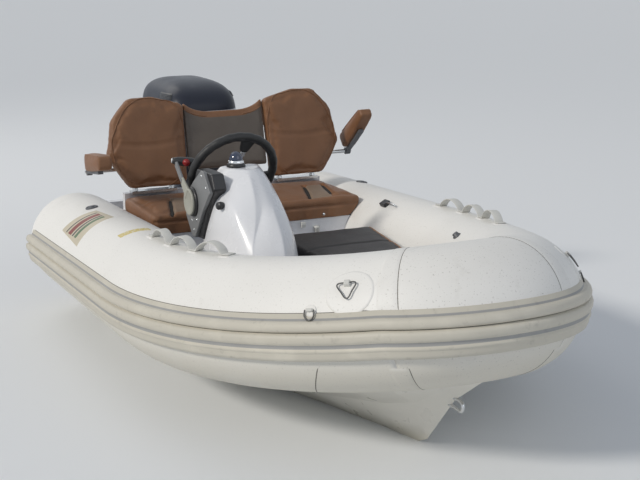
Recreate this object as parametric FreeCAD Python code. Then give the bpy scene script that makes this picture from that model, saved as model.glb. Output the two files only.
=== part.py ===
import FreeCAD, Part
import math
import os
from FreeCAD import Vector

# Rigid inflatable tender with a side console, a bench and an outboard motor.
# Millimetres. X runs forward, Y to port, Z up.
# The origin is at the water surface, on the centreline, below the transom's aft face.

# Collar of inflated tube round the hull
tube_radius = 215
tube_spacing = 1212          # between the centrelines of the two side tubes
tube_end_x = 134             # the round tube stops here and its dome begins
bow_x = 2532                 # the tube's centreline where it crosses the bow
bow_bend = 256               # plan radius of the tube's centreline at the bow
bow_heading = 41.2           # degrees that the bow quarters turn in from the keel line
tube_stern_z = 319
tube_slope = 0.0393          # rise of the side tubes for each unit forward
tube_bow_z = 548
seam_share = 0.7             # the bow chamber's seam, as a share of the bend at the bow
bond = 0.3                   # clearance of pieces glued to the tube

# Rub strake, a band with three ribs, measured up and down from its upper groove
strake_reach = 28            # how far the ribs stand out of the tube
strake_bow_roll = 11         # degrees that the groove lies above the tube's side at the bow
strake_ribs = ((3, 39), (-45, -3), (-85, -49))
strake_low = -88
strake_high = 41
strake_base = 9

# Fittings on the collar
strap_feet_x = (1298, 1487, 1676, 1865)
strap_rise = 34
strap_width = 34
strap_thick = 4
patch_thick = 3
ring_wire = 4
lifting_x = 2372
lifting_rise = 40
lifting_patch = 66
side_ring_x = 2286
side_ring_rise = 24.5
side_ring_patch = 18
valve_x = 530
valve_rise = 80

# Hull, below and between the tubes
transom_x = 45               # thickness of the transom
floor_bed = 150
floor_top = 172
transom_top = 410
transom_notch = 380
transom_shoulder = 52
drain_radius = 12.5
drain_height = 195
drain_y = -250
hull_depth = 150             # from the water down to the keel at the stern
tow_eye_x = 2450
tow_eye_z = 212
tow_eye_bend = 16
tow_eye_wire = 6

# Bench across the boat
bench_front_x = 828
bench_back_x = 428
bench_half = 470
bench_top = 470
bench_wall = 12
rail_thick = 30
rail_top = 574
seat_thick = 85
seat_gap = 12
seat_half = 480
soft_gap = 0.6

# Backrests and the panel between them
back_foot_x = 450
back_foot_z = 596
back_lean = 12               # degrees
back_thick = 56
back_height = 390
back_inner = 188
back_outer = 545
back_widest = 144            # height of the widest level over the foot
back_post = 12

# Armrests
arm_pivot_x = 418
arm_pivot_z = 682
arm_pin = 6
arm_strut = 9
arm_length = 275
arm_height = 68
arm_width = 60
arm_gap = 45
arm_start = 42               # from the pivot to the pad
arm_starboard_rise = 7.5
arm_port_rise = 38

# Console and lockers
console_y = -240
console_aft_x = 1150
console_wall = 10
console_flank = 42           # the starboard flank draws in this much at its aft edge
locker_aft_x = 1130
locker_top = 438
locker_wall = 12
cushion_thick = 52
lid_thick = 14
lid_aft_x = 1700
lid_hinge_x = 2050
lid_half = 350               # half breadth of the lid at its aft edge
moulding_end_x = 2190
lid_gap = 6
hinge_pin = 4

# Helm
wheel_radius = 170
wheel_rim = 13
wheel_tilt = 27              # degrees between the wheel's face and the vertical
wheel_x = 1068
wheel_y = -212
wheel_z = 752
wheel_hub = 30
shaft_radius = 9
pin_fit = 0.05               # radial clearance of pins and shafts in their bores

# Outboard motor
motor_y = 25                 # the motor stands this far to port of the centreline
tilt_x = -35
tilt_z = 450
tilt_pin = 12
steer_x = -120
king_pin = 14
swivel_tube = 30
swivel_low = 250
swivel_high = 500
arm_in = 64
arm_out = 82
cowl_x = -120
cowl_base_z = 535
cowl_split_z = 840
cowl_top_z = 992
cowl_wall = 5
leg_x = -245
plate_z = -185
shaft_drop = 150
prop_radius = 118
prop_x = -330
prop_shaft = 8


def unit(vector):
    return Vector(vector).normalize()


def box(low, high):
    size = Vector(high) - Vector(low)
    return Part.makeBox(size.x, size.y, size.z, Vector(low))


def polygon(points):
    """Closed wire through a list of points."""
    vectors = [Vector(p) for p in points]
    return Part.makePolygon(vectors + [vectors[0]])


def prism(points, along):
    return Part.Face(polygon(points)).extrude(Vector(along))


def plan_prism(points, low, high):
    return prism([(x, y, low) for x, y in points], (0, 0, high - low))


def mirrored(shape):
    return shape.mirror(Vector(0, 0, 0), Vector(0, 1, 0))


def fused(shapes):
    shapes = list(shapes)
    if len(shapes) == 1:
        return shapes[0]
    return shapes[0].multiFuse(shapes[1:]).removeSplitter()


def rod(start, end, radius):
    start, end = Vector(start), Vector(end)
    return Part.makeCylinder(radius, (end - start).Length, start, end - start)


def edges_along(shape, axis, length):
    """Straight edges that run along x, y or z for the length given."""
    sizes = ("XLength", "YLength", "ZLength")
    keep = []
    for edge in shape.Edges:
        bounds = [getattr(edge.BoundBox, s) for s in sizes]
        if abs(bounds["xyz".index(axis)] - length) < 0.01 and sum(bounds) < length + 0.01:
            keep.append(edge)
    return keep


def rounded_rect(half_x, half_y, corner, centre, z):
    """Plan outline of lines and arcs, centred on a point at height z."""
    cx, cy = centre
    arcs = []
    for sx, sy, start in ((1, 1, 0), (-1, 1, 90), (-1, -1, 180), (1, -1, 270)):
        x = cx + sx * (half_x - corner)
        y = cy + sy * (half_y - corner)
        angles = [math.radians(start + k) for k in (0, 45, 90)]
        arcs.append([Vector(x + corner * math.cos(t), y + corner * math.sin(t), z)
                     for t in angles])
    edges = []
    for i, arc in enumerate(arcs):
        edges.append(Part.Arc(*arc).toShape())
        edges.append(Part.LineSegment(arc[2], arcs[(i + 1) % 4][0]).toShape())
    return Part.Wire(edges)


def steps_along(corners, lengths):
    """Runs and arcs along a line of corners; each arc starts its length before its corner."""
    steps = []
    at = corners[0]
    for i, length in enumerate(lengths, 1):
        arrive = unit(corners[i] - corners[i - 1])
        leave = unit(corners[i + 1] - corners[i])
        start = corners[i] - arrive * length
        if (start - at).Length > 0.01:
            steps.append(("run", start - at))
        turn = arrive.getAngle(leave)
        axis = arrive.cross(leave).normalize()
        centre = start + axis.cross(arrive) * (length / math.tan(turn / 2))
        steps.append(("arc", centre, axis, math.degrees(turn)))
        at = corners[i] + leave * length
    steps.append(("run", corners[-1] - at))
    return steps


def side_steps():
    """The tube's centreline from the bow aft to the stern on the starboard side."""
    half = tube_spacing / 2
    turn = math.radians(bow_heading)
    reach = bow_bend * math.tan((math.pi / 2 - turn) / 2)
    quarter_x = bow_x - (half - reach) / math.tan(turn)

    def level(x):
        return tube_stern_z + tube_slope * (x - tube_end_x)

    corners = [Vector(bow_x, 0, tube_bow_z),
               Vector(bow_x, -reach, tube_bow_z),
               Vector(quarter_x, -half, level(quarter_x)),
               Vector(tube_end_x, -half, level(tube_end_x))]
    quarter = (corners[1] - corners[2]).Length - reach
    return corners[0], steps_along(corners, [reach, quarter])


def centreline(x):
    """Point of the starboard tube's centreline at a given x, aft of the bow's nose."""
    start, steps = side_steps()
    centre, axis, turn = steps[1][1:]
    at = start
    kind, c0, a0, t0 = steps[0]
    at = FreeCAD.Rotation(a0, t0).multVec(at - c0) + c0
    low, high = 0, turn
    best = FreeCAD.Rotation(axis, turn).multVec(at - centre) + centre
    if x <= best.x:
        run = steps[2][1]
        return best + run * ((best.x - x) / -run.x)
    for _ in range(40):
        mid = (low + high) / 2
        best = FreeCAD.Rotation(axis, mid).multVec(at - centre) + centre
        if best.x > x:
            low = mid
        else:
            high = mid
    return best


def sweep(face, steps):
    """Solids swept by a face along runs and arcs, and the face at the far end."""
    solids = []
    for step in steps:
        if step[0] == "run":
            solids.append(face.extrude(step[1]))
            face = face.translated(step[1])
        else:
            centre, axis, turn = step[1:]
            solids.append(face.revolve(centre, axis, turn))
            face = face.copy()
            face.rotate(centre, axis, turn)
    return solids, face


def split_arc(step, share):
    kind, centre, axis, turn = step
    return (kind, centre, axis, turn * share), (kind, centre, axis, turn * (1 - share))


def bow_disc(centre, radius):
    circle = Part.Circle(centre, Vector(0, -1, 0), radius)
    return Part.Face(Part.Wire(circle.toShape()))


def stern_dome(disc, radius):
    aft = Vector(-1, 0, -tube_slope)
    return Part.makeSphere(radius, disc.CenterOfMass, unit(aft), 0, 90, 360)


def tube_parts(radius):
    """The half of the bow chamber and the whole side chamber, on the starboard side."""
    start, steps = side_steps()
    nose, quarter, side = steps
    ahead, behind = split_arc(nose, seam_share)
    bow_half, seam = sweep(bow_disc(start, radius), [ahead])
    chamber, end = sweep(seam, [behind, quarter, side])
    return fused(bow_half), fused(chamber + [stern_dome(end, radius)])


def build_collar():
    bow_half, side = tube_parts(tube_radius)
    return {"tube_bow": fused([bow_half, mirrored(bow_half)]),
            "tube_starboard": side,
            "tube_port": mirrored(side)}


def tube_space(extra):
    """The collar grown by a clearance, to cut the pieces that seat on it."""
    bow_half, side = tube_parts(tube_radius + extra)
    half = fused([bow_half, side])
    return fused([half, mirrored(half)])


def strake_profile(start, roll):
    """Section in the plane of the bow: a band that hugs the tube, with round ribs."""
    seat = tube_radius + bond

    def at(out, along):
        angle = math.radians(roll) + along / tube_radius
        return start + Vector((seat + out) * math.cos(angle), 0, (seat + out) * math.sin(angle))

    middle = (strake_low + strake_high) / 2
    edges = [Part.Arc(at(0, strake_low), at(0, middle), at(0, strake_high)).toShape(),
             Part.LineSegment(at(0, strake_high), at(strake_base, strake_high)).toShape()]
    last = at(strake_base, strake_high)
    for low, high in strake_ribs:
        edges.append(Part.LineSegment(last, at(strake_base, high)).toShape())
        edges.append(Part.Arc(at(strake_base, high), at(strake_reach, (low + high) / 2),
                              at(strake_base, low)).toShape())
        last = at(strake_base, low)
    edges.append(Part.LineSegment(last, at(strake_base, strake_low)).toShape())
    edges.append(Part.LineSegment(at(strake_base, strake_low), at(0, strake_low)).toShape())
    return Part.Face(Part.Wire(edges))


def build_strake():
    start, steps = side_steps()
    solids, _ = sweep(strake_profile(start, strake_bow_roll), steps)
    half = fused(solids)
    return fused([half, mirrored(half)])


def on_tube(x, rise_deg, out=0.0):
    """Point on the starboard tube, turned up from its outer side, and the outward normal."""
    centre = centreline(x)
    ahead = unit(centreline(x + 5) - centreline(x - 5))
    side = ahead.cross(Vector(0, 0, 1)).normalize()
    up = side.cross(ahead).normalize()
    angle = math.radians(rise_deg)
    normal = side * math.cos(angle) + up * math.sin(angle)
    return centre + normal * (tube_radius + out), normal, ahead


def build_grab_strap(tubes):
    """Webbing that stands up in arches between feet glued to the top of the tube."""
    feet = [on_tube(x, 88)[0] for x in strap_feet_x]
    pieces = []
    for a, b in zip(feet, feet[1:]):
        ahead = unit(b - a)
        across = ahead.cross(Vector(0, 0, 1)).normalize()
        up = across.cross(ahead)
        mid = (a + b) * 0.5
        outer = Part.Arc(a + up * strap_thick, mid + up * (strap_rise + strap_thick),
                         b + up * strap_thick).toShape()
        inner = Part.Arc(a, mid + up * strap_rise, b).toShape()
        ends = [Part.LineSegment(a, a + up * strap_thick).toShape(),
                Part.LineSegment(b, b + up * strap_thick).toShape()]
        face = Part.Face(Part.Wire(Part.__sortEdges__([outer, inner] + ends)))
        face.translate(across * (-strap_width / 2))
        pieces.append(face.extrude(across * strap_width))
    for x in strap_feet_x:
        foot, normal, ahead = on_tube(x, 88)
        across = normal.cross(ahead)
        half = strap_width / 2 + 6
        corner = foot - ahead * 30 - across * half - normal * 20
        pad = polygon([corner, corner + ahead * 60, corner + ahead * 60 + across * 2 * half,
                       corner + across * 2 * half])
        pieces.append(Part.Face(pad).extrude(normal * (20 + strap_thick)))
    return fused(pieces).cut(tubes)


def build_ring_patch(x, rise, patch, ring, tubes, stand=8):
    """Round patch glued to the tube with a wire ring held by a loop of webbing."""
    foot, normal, ahead = on_tube(x, rise)
    disc = Part.makeCylinder(patch, patch + patch_thick, foot - normal * patch, normal)
    keep = disc.common(tube_space(patch_thick + bond)).cut(tubes)
    across = normal.cross(ahead)
    centre = foot + normal * stand
    hoop = Part.makeTorus(ring, ring_wire, centre + across * ring, normal)
    loop = Part.makeCylinder(ring_wire + 4, 26, centre - ahead * 13 - normal * 0.5, ahead)
    return fused([keep, hoop, loop]).cut(tubes)


hull_stations = [
    # shares: x of bow_x; keel height; chine breadth and height; rim breadth and height
    (0.0000, -1.000, 0.710, -0.100, 0.990, 1.000),
    (0.2765, -1.000, 0.710, -0.080, 0.990, 1.000),
    (0.4463, -0.967, 0.635, 0.033, 0.990, 1.013),
    (0.6268, -0.847, 0.421, 0.300, 0.941, 1.367),
    (0.7437, -0.620, 0.289, 0.567, 0.825, 1.747),
    (0.8369, -0.267, 0.157, 0.833, 0.652, 2.033),
    (0.8886, 0.187, 0.086, 1.100, 0.528, 2.200),
    (0.9550, 1.480, 0.036, 1.747, 0.314, 2.413),
    (1.0229, 2.300, 0.010, 2.347, 0.050, 2.533)]


def build_hull(tubes):
    half = tube_spacing / 2
    wires = []
    for along, keel, chine_y, chine_z, rim_y, rim_z in hull_stations:
        x = along * bow_x
        side = [(chine_y * half, chine_z * hull_depth), (rim_y * half, rim_z * hull_depth)]
        points = [(x, 0, keel * hull_depth)]
        points += [(x, y, z) for y, z in side]
        points += [(x, -y, z) for y, z in reversed(side)]
        wires.append(polygon(points))
    return Part.makeLoft(wires, True, True).cut(tubes)


def build_deck(tubes, hull):
    width = tube_spacing / 2
    plate = box((transom_x, -width, floor_bed), (locker_aft_x + 70, width, floor_top))
    return plate.cut(tubes).cut(hull)


def build_transom(tubes):
    half = tube_spacing / 2
    notch = transom_notch / 2
    high = transom_top + transom_shoulder
    ramp = 50
    board = prism([(0, -half, floor_bed), (0, half, floor_bed), (0, half, high),
                   (0, notch + ramp, high), (0, notch, transom_top), (0, -notch, transom_top),
                   (0, -notch - ramp, high), (0, -half, high)], (transom_x, 0, 0))
    drain = rod((-5, drain_y, drain_height), (transom_x + 5, drain_y, drain_height), drain_radius)
    return board.cut(tubes).cut(drain)


def build_bench(tubes, thick_tubes):
    outer = box((bench_back_x, -bench_half, floor_top), (bench_front_x, bench_half, bench_top))
    rail = box((bench_back_x - rail_thick, -bench_half, floor_top),
               (bench_back_x, bench_half, rail_top))
    inner = box((bench_back_x + bench_wall, -bench_half + bench_wall, floor_top - 1),
                (bench_front_x - bench_wall, bench_half - bench_wall, bench_top - bench_wall))
    return fused([outer, rail]).cut(tubes).cut(inner.cut(thick_tubes))


def build_seat(tubes):
    low = bench_top + soft_gap
    high = low + seat_thick
    front = bench_front_x + 12
    back = bench_back_x + soft_gap
    block = box((back, -seat_half, low), (front, -seat_gap / 2, high))
    block = block.makeFillet(22, edges_along(block, "z", high - low))
    starboard = block.cut(tubes)
    return {"seat_cushion_starboard": starboard, "seat_cushion_port": mirrored(starboard)}


def leaned(shape):
    """Turns a piece drawn upright over the backrest's foot back to its lean."""
    shape = shape.copy()
    shape.rotate(Vector(back_foot_x, 0, back_foot_z), Vector(0, 1, 0), -back_lean)
    return shape


def build_backs():
    x = back_foot_x
    z = back_foot_z
    outline = [(back_inner + 12, 0), (back_outer - 90, 0), (back_outer, back_widest),
               (back_outer - 43, back_height - 102), (back_outer - 120, back_height - 12),
               (back_outer - 205, back_height), (back_inner, back_height - 38)]
    port = prism([(x, y, z + h) for y, h in outline], (back_thick, 0, 0))
    port = leaned(port.makeFillet(25, edges_along(port, "x", back_thick)))
    low, high = z + 60, z + 315
    half = back_inner - soft_gap
    panel = leaned(box((x + 20, -half, low), (x + 38, half, high)))
    posts = []
    lean = math.radians(back_lean)
    for y in (back_inner + 72, back_outer - 120):
        out = back_post + soft_gap
        foot = Vector(x - out, y, z - 14)
        top = Vector(x - out, y, z + 240)
        posts.append(leaned(rod(foot, top, back_post)))
    foot_x = x - out + 14 * math.tan(lean)
    shoe = box((foot_x - 22, back_inner + 52, rail_top), (foot_x + 22, back_outer - 100, rail_top + 12))
    pin_y = back_outer + arm_gap + 18
    strut = rod((arm_pivot_x, back_outer - 125, arm_pivot_z),
                (arm_pivot_x, pin_y - 5, arm_pivot_z), arm_strut)
    pin = rod((arm_pivot_x, pin_y - 10, arm_pivot_z), (arm_pivot_x, pin_y + 30, arm_pivot_z), arm_pin)
    post = fused([strut, pin]).cut(fused(posts))
    frame = fused(posts + [shoe])
    below = box((x - 200, 0, rail_top - 100), (x + 200, back_outer, rail_top))
    frame = frame.cut(below)
    return {"backrest_port": port, "backrest_starboard": mirrored(port),
            "back_panel": panel, "back_frame_port": frame,
            "back_frame_starboard": mirrored(frame),
            "armrest_post_port": post, "armrest_post_starboard": mirrored(post)}


def arm_pieces(side, rise):
    """One armrest: pad, and the bracket under it, turned up about its pivot."""
    y = back_outer + arm_gap
    x = arm_pivot_x
    z = arm_pivot_z
    start = x + arm_start
    pad = prism([(start, y, z + 8), (x + arm_length, y, z + 8),
                 (x + arm_length, y, z + 8 + arm_height), (start, y, z + 8 + arm_height)],
                (0, arm_width, 0))
    pad = pad.makeFillet(16, edges_along(pad, "y", arm_width))
    strip = box((x - 14, y + 18, z - 6), (x + arm_length - 90, y + 40, z + 7.4))
    hub = rod((x, y + 18, z), (x, y + 40, z), 16)
    hole = rod((x, y - 5, z), (x, y + 50, z), arm_pin + pin_fit)
    bracket = fused([strip, hub]).cut(hole)
    pieces = []
    for shape in (pad, bracket):
        shape.rotate(Vector(x, 0, z), Vector(0, 1, 0), -rise)
        pieces.append(shape if side > 0 else mirrored(shape))
    return pieces


console_sections = [
    # height, nose x, half breadth aft, half breadth at the nose
    (floor_top, 1610, 172, 120),
    (400, 1610, 172, 115),
    (560, 1585, 162, 92),
    (680, 1500, 145, 70),
    (760, 1390, 125, 62),
    (800, 1270, 105, 60)]


def console_body(inset):
    wires = []
    for z, nose, aft_half, nose_half in console_sections:
        if z == floor_top:
            z = floor_top - inset
        if z == 800:
            z = 800 - inset
        y = console_y
        aft = console_aft_x + inset
        nose = nose - inset
        aft_half = aft_half - inset
        nose_half = nose_half - inset
        mid = (aft_half + nose_half) / 2
        wires.append(polygon([(aft, y - aft_half + console_flank, z), (aft, y + aft_half, z),
                              (nose - 90, y + mid, z), (nose, y + nose_half * 0.4, z),
                              (nose, y - nose_half * 0.4, z), (nose - 90, y - mid, z),
                              (aft + (nose - 90 - aft) * 0.55, y - aft_half, z)]))
    return Part.makeLoft(wires, True, True)


def wheel_axis():
    """The wheel's axis points forward and down into the console."""
    tilt = math.radians(wheel_tilt)
    return Vector(wheel_x, wheel_y, wheel_z), Vector(math.cos(tilt), 0, -math.sin(tilt))


def build_console(tubes, thick_tubes, hull, deck):
    outer = console_body(0).cut(tubes)
    centre, ahead = wheel_axis()
    bore = rod(centre, centre + ahead * 220, 40 + soft_gap)
    inner = console_body(console_wall).cut(thick_tubes)
    return largest(outer.cut(inner).cut(bore).cut(hull).cut(deck)), outer


def build_helm():
    centre, ahead = wheel_axis()
    barrel = rod(centre + ahead * 62, centre + ahead * 190, 40)
    flange = rod(centre + ahead * 46, centre + ahead * 62, 52)
    bore = rod(centre, centre + ahead * 170, shaft_radius + pin_fit)
    return fused([barrel, flange]).cut(bore)


def build_wheel():
    """Rim, three spokes, hub and the shaft that runs in the helm."""
    centre, ahead = wheel_axis()
    rim = Part.makeTorus(wheel_radius, wheel_rim, centre, ahead)
    hub = rod(centre - ahead * 12, centre + ahead * 36, wheel_hub)
    shaft = rod(centre + ahead * 36, centre + ahead * 160, shaft_radius)
    spokes = []
    side = Vector(0, 1, 0)
    up = ahead.cross(side)
    for angle in (75, 255, 345):
        turn = math.radians(angle)
        out = side * math.cos(turn) + up * math.sin(turn)
        across = out.cross(ahead)
        start = centre + across * 14 - ahead * 2.5
        end = start + out * (wheel_radius - 4) - across * 4
        face = Part.Face(polygon([start, end, end - across * 20, start - across * 28]))
        spokes.append(face.extrude(ahead * 5))
    return fused([rim, hub, shaft] + spokes)


def build_control(console_outer):
    y = console_y - 120
    x_of = [(1058, 640), (1119, 519), (1196, 519), (1250, 785), (1150, 790), (1060, 700)]
    plate = prism([(x, y - 40, z) for x, z in x_of], (0, 120, 0))
    body = plate.cut(console_outer)
    aft = box((1000, y + 2, 480), (console_aft_x, y + 100, 800))
    body = body.cut(aft)
    hub = rod((1108, y - 60, 661), (1108, y - 40 - soft_gap, 661), 34)
    grip = Vector(892, y - 54, 781)
    arm = rod((1108, y - 54, 661), grip, 8)
    handle = rod(grip - Vector(8, 8, -6), grip + Vector(0, 92, 0), 15)
    return {"control_box": largest(body), "throttle_lever": fused([hub, arm, handle])}


def largest(shape):
    return max(shape.Solids, key=lambda solid: solid.Volume)


def build_moulding(tubes, thick_tubes, hull, deck):
    """Hollow moulding that carries the side seat and the bow locker."""
    edge = console_y + 172 + 2
    nose = 1610 + 4
    wide = tube_spacing / 2
    end = moulding_end_x
    wall = locker_wall
    outer = plan_prism([(locker_aft_x, edge), (locker_aft_x, wide), (end, wide), (end, -wide),
                        (nose, -wide), (nose, edge)], floor_top - 22, locker_top)
    inner = plan_prism([(locker_aft_x + wall, edge + wall), (locker_aft_x + wall, wide),
                        (end - wall, wide), (end - wall, -wide), (nose + wall, -wide),
                        (nose + wall, edge + wall)], floor_top - 30, locker_top - wall)
    shell = outer.cut(tubes).cut(inner.cut(thick_tubes)).cut(hull).cut(deck)
    mouth = plan_prism([(lid_aft_x + 25, -310), (lid_aft_x + 25, 310), (lid_hinge_x - 40, 112),
                        (lid_hinge_x - 40, -112)], locker_top - 40, locker_top + 10)
    knuckles = []
    for y in (-70, 70):
        foot = box((lid_hinge_x - 9, y - 14, locker_top), (lid_hinge_x + 9, y + 14, hinge_z()))
        knuckles.append(foot)
        knuckles.append(rod((lid_hinge_x, y - 14, hinge_z()), (lid_hinge_x, y + 14, hinge_z()), 9))
    pin = rod((lid_hinge_x, -84, hinge_z()), (lid_hinge_x, 84, hinge_z()), hinge_pin)
    return fused([largest(shell.cut(mouth))] + knuckles + [pin])


def hinge_z():
    return locker_top + 16


def lid_outline(shrink):
    """Plan of the lid; it narrows forward so that it swings up clear of the tubes."""
    half = [(lid_aft_x + shrink, lid_half - shrink), (lid_hinge_x - 200, lid_half - 25 - shrink),
            (lid_hinge_x - 150, lid_half - 95 - shrink), (lid_hinge_x - 100, lid_half - 145 - shrink),
            (lid_hinge_x - 14, lid_half - 185 - shrink)]
    return half + [(x, -y) for x, y in reversed(half)]


def build_lid(clear_tubes):
    low = locker_top + 0.5
    plate = plan_prism(lid_outline(0), low, low + lid_thick).cut(clear_tubes)
    ears = []
    for y in (-50, 50):
        arm = box((lid_hinge_x - 16, y - 4, low + 2), (lid_hinge_x, y + 4, low + lid_thick))
        eye = rod((lid_hinge_x, y - 4, hinge_z()), (lid_hinge_x, y + 4, hinge_z()), 9)
        ears += [arm, eye]
    hole = rod((lid_hinge_x, -90, hinge_z()), (lid_hinge_x, 90, hinge_z()), hinge_pin + pin_fit)
    lid = fused([plate] + ears).cut(hole)
    high = low + lid_thick + soft_gap
    pad = plan_prism(lid_outline(10), high, high + cushion_thick - lid_thick)
    pad = pad.makeFillet(18, edges_along(pad, "z", cushion_thick - lid_thick))
    return {"locker_lid": lid, "bow_cushion": pad.cut(clear_tubes)}


def build_side_cushion(clear_tubes):
    low = locker_top + soft_gap
    edge = console_y + 172 + 14
    outer = tube_spacing / 2 - tube_radius - 29
    front = lid_aft_x - 12
    outline = [(locker_aft_x + 6, edge), (locker_aft_x + 6, outer), (front - 188, outer - 56),
               (front, outer - 94), (front, console_y + 80), (front - 58, console_y + 80),
               (front - 58, edge)]
    pad = plan_prism(outline, low, low + cushion_thick)
    pad = pad.makeFillet(12, edges_along(pad, "z", cushion_thick))
    return pad.cut(clear_tubes)


def build_compass():
    base = Part.makeCylinder(44, 22, Vector(1205, -252, 800 + soft_gap))
    dome = Part.makeSphere(38, Vector(1205, -252, 822 + soft_gap), Vector(0, 0, 1), 0, 90, 360)
    return {"compass_base": base, "compass_dome": dome.translated(Vector(0, 0, 0.3))}


def build_tow_eye(hull):
    """Bent rod whose two ends go into the stem."""
    x = tow_eye_x
    z = tow_eye_z
    bend = tow_eye_bend
    legs = [rod((x - 150, 0, z + up), (x, 0, z + up), tow_eye_wire) for up in (-bend, bend)]
    arc = Part.makeTorus(bend, tow_eye_wire, Vector(x, 0, z), Vector(0, 1, 0))
    reach = bend + tow_eye_wire + 2
    half = arc.common(box((x, -reach, z - reach), (x + reach, reach, z + reach)))
    return largest(fused(legs + [half]).cut(hull))


def build_clamp():
    """Clamp bracket: two arms hooked over the transom, joined below."""
    pieces = []
    for side in (-1, 1):
        low, high = sorted((side * arm_in, side * arm_out))
        seat = transom_top + bond
        hook = transom_x + bond
        outline = [(-64, 300), (-bond, 300), (-bond, seat), (hook, seat),
                   (hook, 330), (hook + 15, 330), (hook + 15, seat + 22),
                   (-10, tilt_z + 26), (-62, tilt_z + 26), (-70, 400)]
        pieces.append(prism([(x, low, z) for x, z in outline], (0, high - low, 0)))
    pieces.append(box((-26, -arm_out, 300), (-bond, arm_out, 322)))
    pin = rod((tilt_x, -arm_out, tilt_z), (tilt_x, arm_out, tilt_z), tilt_pin)
    return fused(pieces + [pin])


def build_swivel():
    """Swivel bracket: hub on the tilt pin and the tube that holds the king pin."""
    half = arm_in - 6
    hub = rod((tilt_x, -half, tilt_z), (tilt_x, half, tilt_z), 24)
    web = box((steer_x + 10, -22, 340), (tilt_x - 30, 22, tilt_z + 18))
    neck = box((tilt_x - 40, -22, tilt_z - 18), (tilt_x, 22, tilt_z + 18))
    tube = rod((steer_x, 0, swivel_low), (steer_x, 0, swivel_high), swivel_tube)
    bore = rod((steer_x, 0, swivel_low - 5), (steer_x, 0, swivel_high + 5), king_pin + pin_fit)
    eye = rod((tilt_x, -half - 5, tilt_z), (tilt_x, half + 5, tilt_z), tilt_pin + pin_fit)
    return fused([hub, web, neck, tube]).cut(bore).cut(eye)


leg_sections = [
    # height, half length, half width, corner
    (cowl_base_z - soft_gap, 86, 62, 40),
    (350, 62, 44, 30),
    (60, 56, 34, 22),
    (plate_z, 52, 22, 16)]


def build_leg():
    """Midsection with the two arms that carry the king pin."""
    wires = [rounded_rect(half_x, half_y, corner, (leg_x, 0), z)
             for z, half_x, half_y, corner in leg_sections]
    column = Part.makeLoft(wires, True, True)
    gap = 5
    top = box((leg_x, -26, swivel_high + gap), (steer_x + 24, 26, swivel_high + gap + 20))
    low = box((leg_x, -20, swivel_low - gap - 20), (steer_x + 20, 20, swivel_low - gap))
    pin = rod((steer_x, 0, swivel_low - gap - 10), (steer_x, 0, swivel_high + gap + 10), king_pin)
    return fused([column, top, low, pin])


def build_gearcase():
    z = plate_z - soft_gap
    axis_z = plate_z - shaft_drop
    plate = plan_prism([(leg_x - 190, -92), (leg_x - 190, 92), (leg_x + 40, 80),
                        (leg_x + 118, 24), (leg_x + 118, -24), (leg_x + 40, -80)], z - 8, z)
    strut = Part.makeLoft([rounded_rect(60, 22, 16, (leg_x, 0), z - 4),
                           rounded_rect(64, 18, 14, (leg_x, 0), axis_z)], True, True)
    body = rod((prop_x + 4, 0, axis_z), (leg_x + 60, 0, axis_z), 36)
    nose = Part.makeCone(36, 10, 70, Vector(leg_x + 60, 0, axis_z), Vector(1, 0, 0))
    shaft = rod((prop_x - 84, 0, axis_z), (prop_x + 10, 0, axis_z), prop_shaft)
    skeg = prism([(leg_x - 60, -5, axis_z - 20), (leg_x + 55, -5, axis_z - 20),
                  (leg_x + 5, -5, axis_z - 135), (leg_x - 45, -5, axis_z - 140)], (0, 10, 0))
    return fused([plate, strut, body, nose, shaft, skeg])


def build_propeller():
    axis_z = plate_z - shaft_drop
    hub = rod((prop_x - 78, 0, axis_z), (prop_x - 2, 0, axis_z), 31)
    bore = rod((prop_x - 90, 0, axis_z), (prop_x + 5, 0, axis_z), prop_shaft + pin_fit)
    blades = []
    for angle in (90, 210, 330):
        x = prop_x - 40
        outline = [(x - 22, 20), (x - 40, 70), (x - 30, 104), (x - 8, prop_radius),
                   (x + 22, 108), (x + 36, 78), (x + 24, 20)]
        blade = prism([(px, -3, axis_z + r) for px, r in outline], (0, 6, 0))
        blade.rotate(Vector(x, 0, axis_z), Vector(0, 0, 1), 48)
        blade.rotate(Vector(x, 0, axis_z), Vector(1, 0, 0), angle - 90)
        blades.append(blade)
    return fused([hub] + blades).cut(bore)


cowl_sections = [
    # height, half length, half width, corner, shift aft
    (cowl_base_z, 205, 140, 90, 20),
    (610, 268, 172, 115, 8),
    (720, 280, 180, 120, 0),
    (cowl_split_z, 280, 180, 120, 0),
    (920, 262, 172, 115, 14),
    (966, 222, 146, 100, 26),
    (cowl_top_z, 150, 92, 70, 34)]


def cowl_shell(sections, inset, ends):
    wires = []
    for i, (z, half_x, half_y, corner, aft) in enumerate(sections):
        if ends[0] and i == 0:
            z = z + inset
        if ends[1] and i == len(sections) - 1:
            z = z - inset
        wires.append(rounded_rect(half_x - inset, half_y - inset, corner - inset,
                                  (cowl_x - aft, 0), z))
    return Part.makeLoft(wires, True, True)


def build_cowl():
    low = cowl_sections[:4]
    high = cowl_sections[3:]
    lower = cowl_shell(low, 0, (0, 0)).cut(cowl_shell(low, cowl_wall, (1, 0)))
    upper = cowl_shell(high, 0, (0, 0)).cut(cowl_shell(high, cowl_wall, (0, 1)))
    upper.translate(Vector(0, 0, bond))
    block = box((cowl_x - 200, -105, cowl_base_z + cowl_wall + soft_gap),
                (cowl_x + 150, 105, cowl_split_z + 40))
    return {"cowl_lower": lower, "cowl_upper": upper, "powerhead": block}


def build_motor():
    pieces = {"clamp_bracket": build_clamp(), "swivel_bracket": build_swivel(),
              "motor_leg": build_leg(), "gearcase": build_gearcase(),
              "propeller": build_propeller()}
    pieces.update(build_cowl())
    return {name: piece.translated(Vector(0, motor_y, 0)) for name, piece in pieces.items()}


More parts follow.
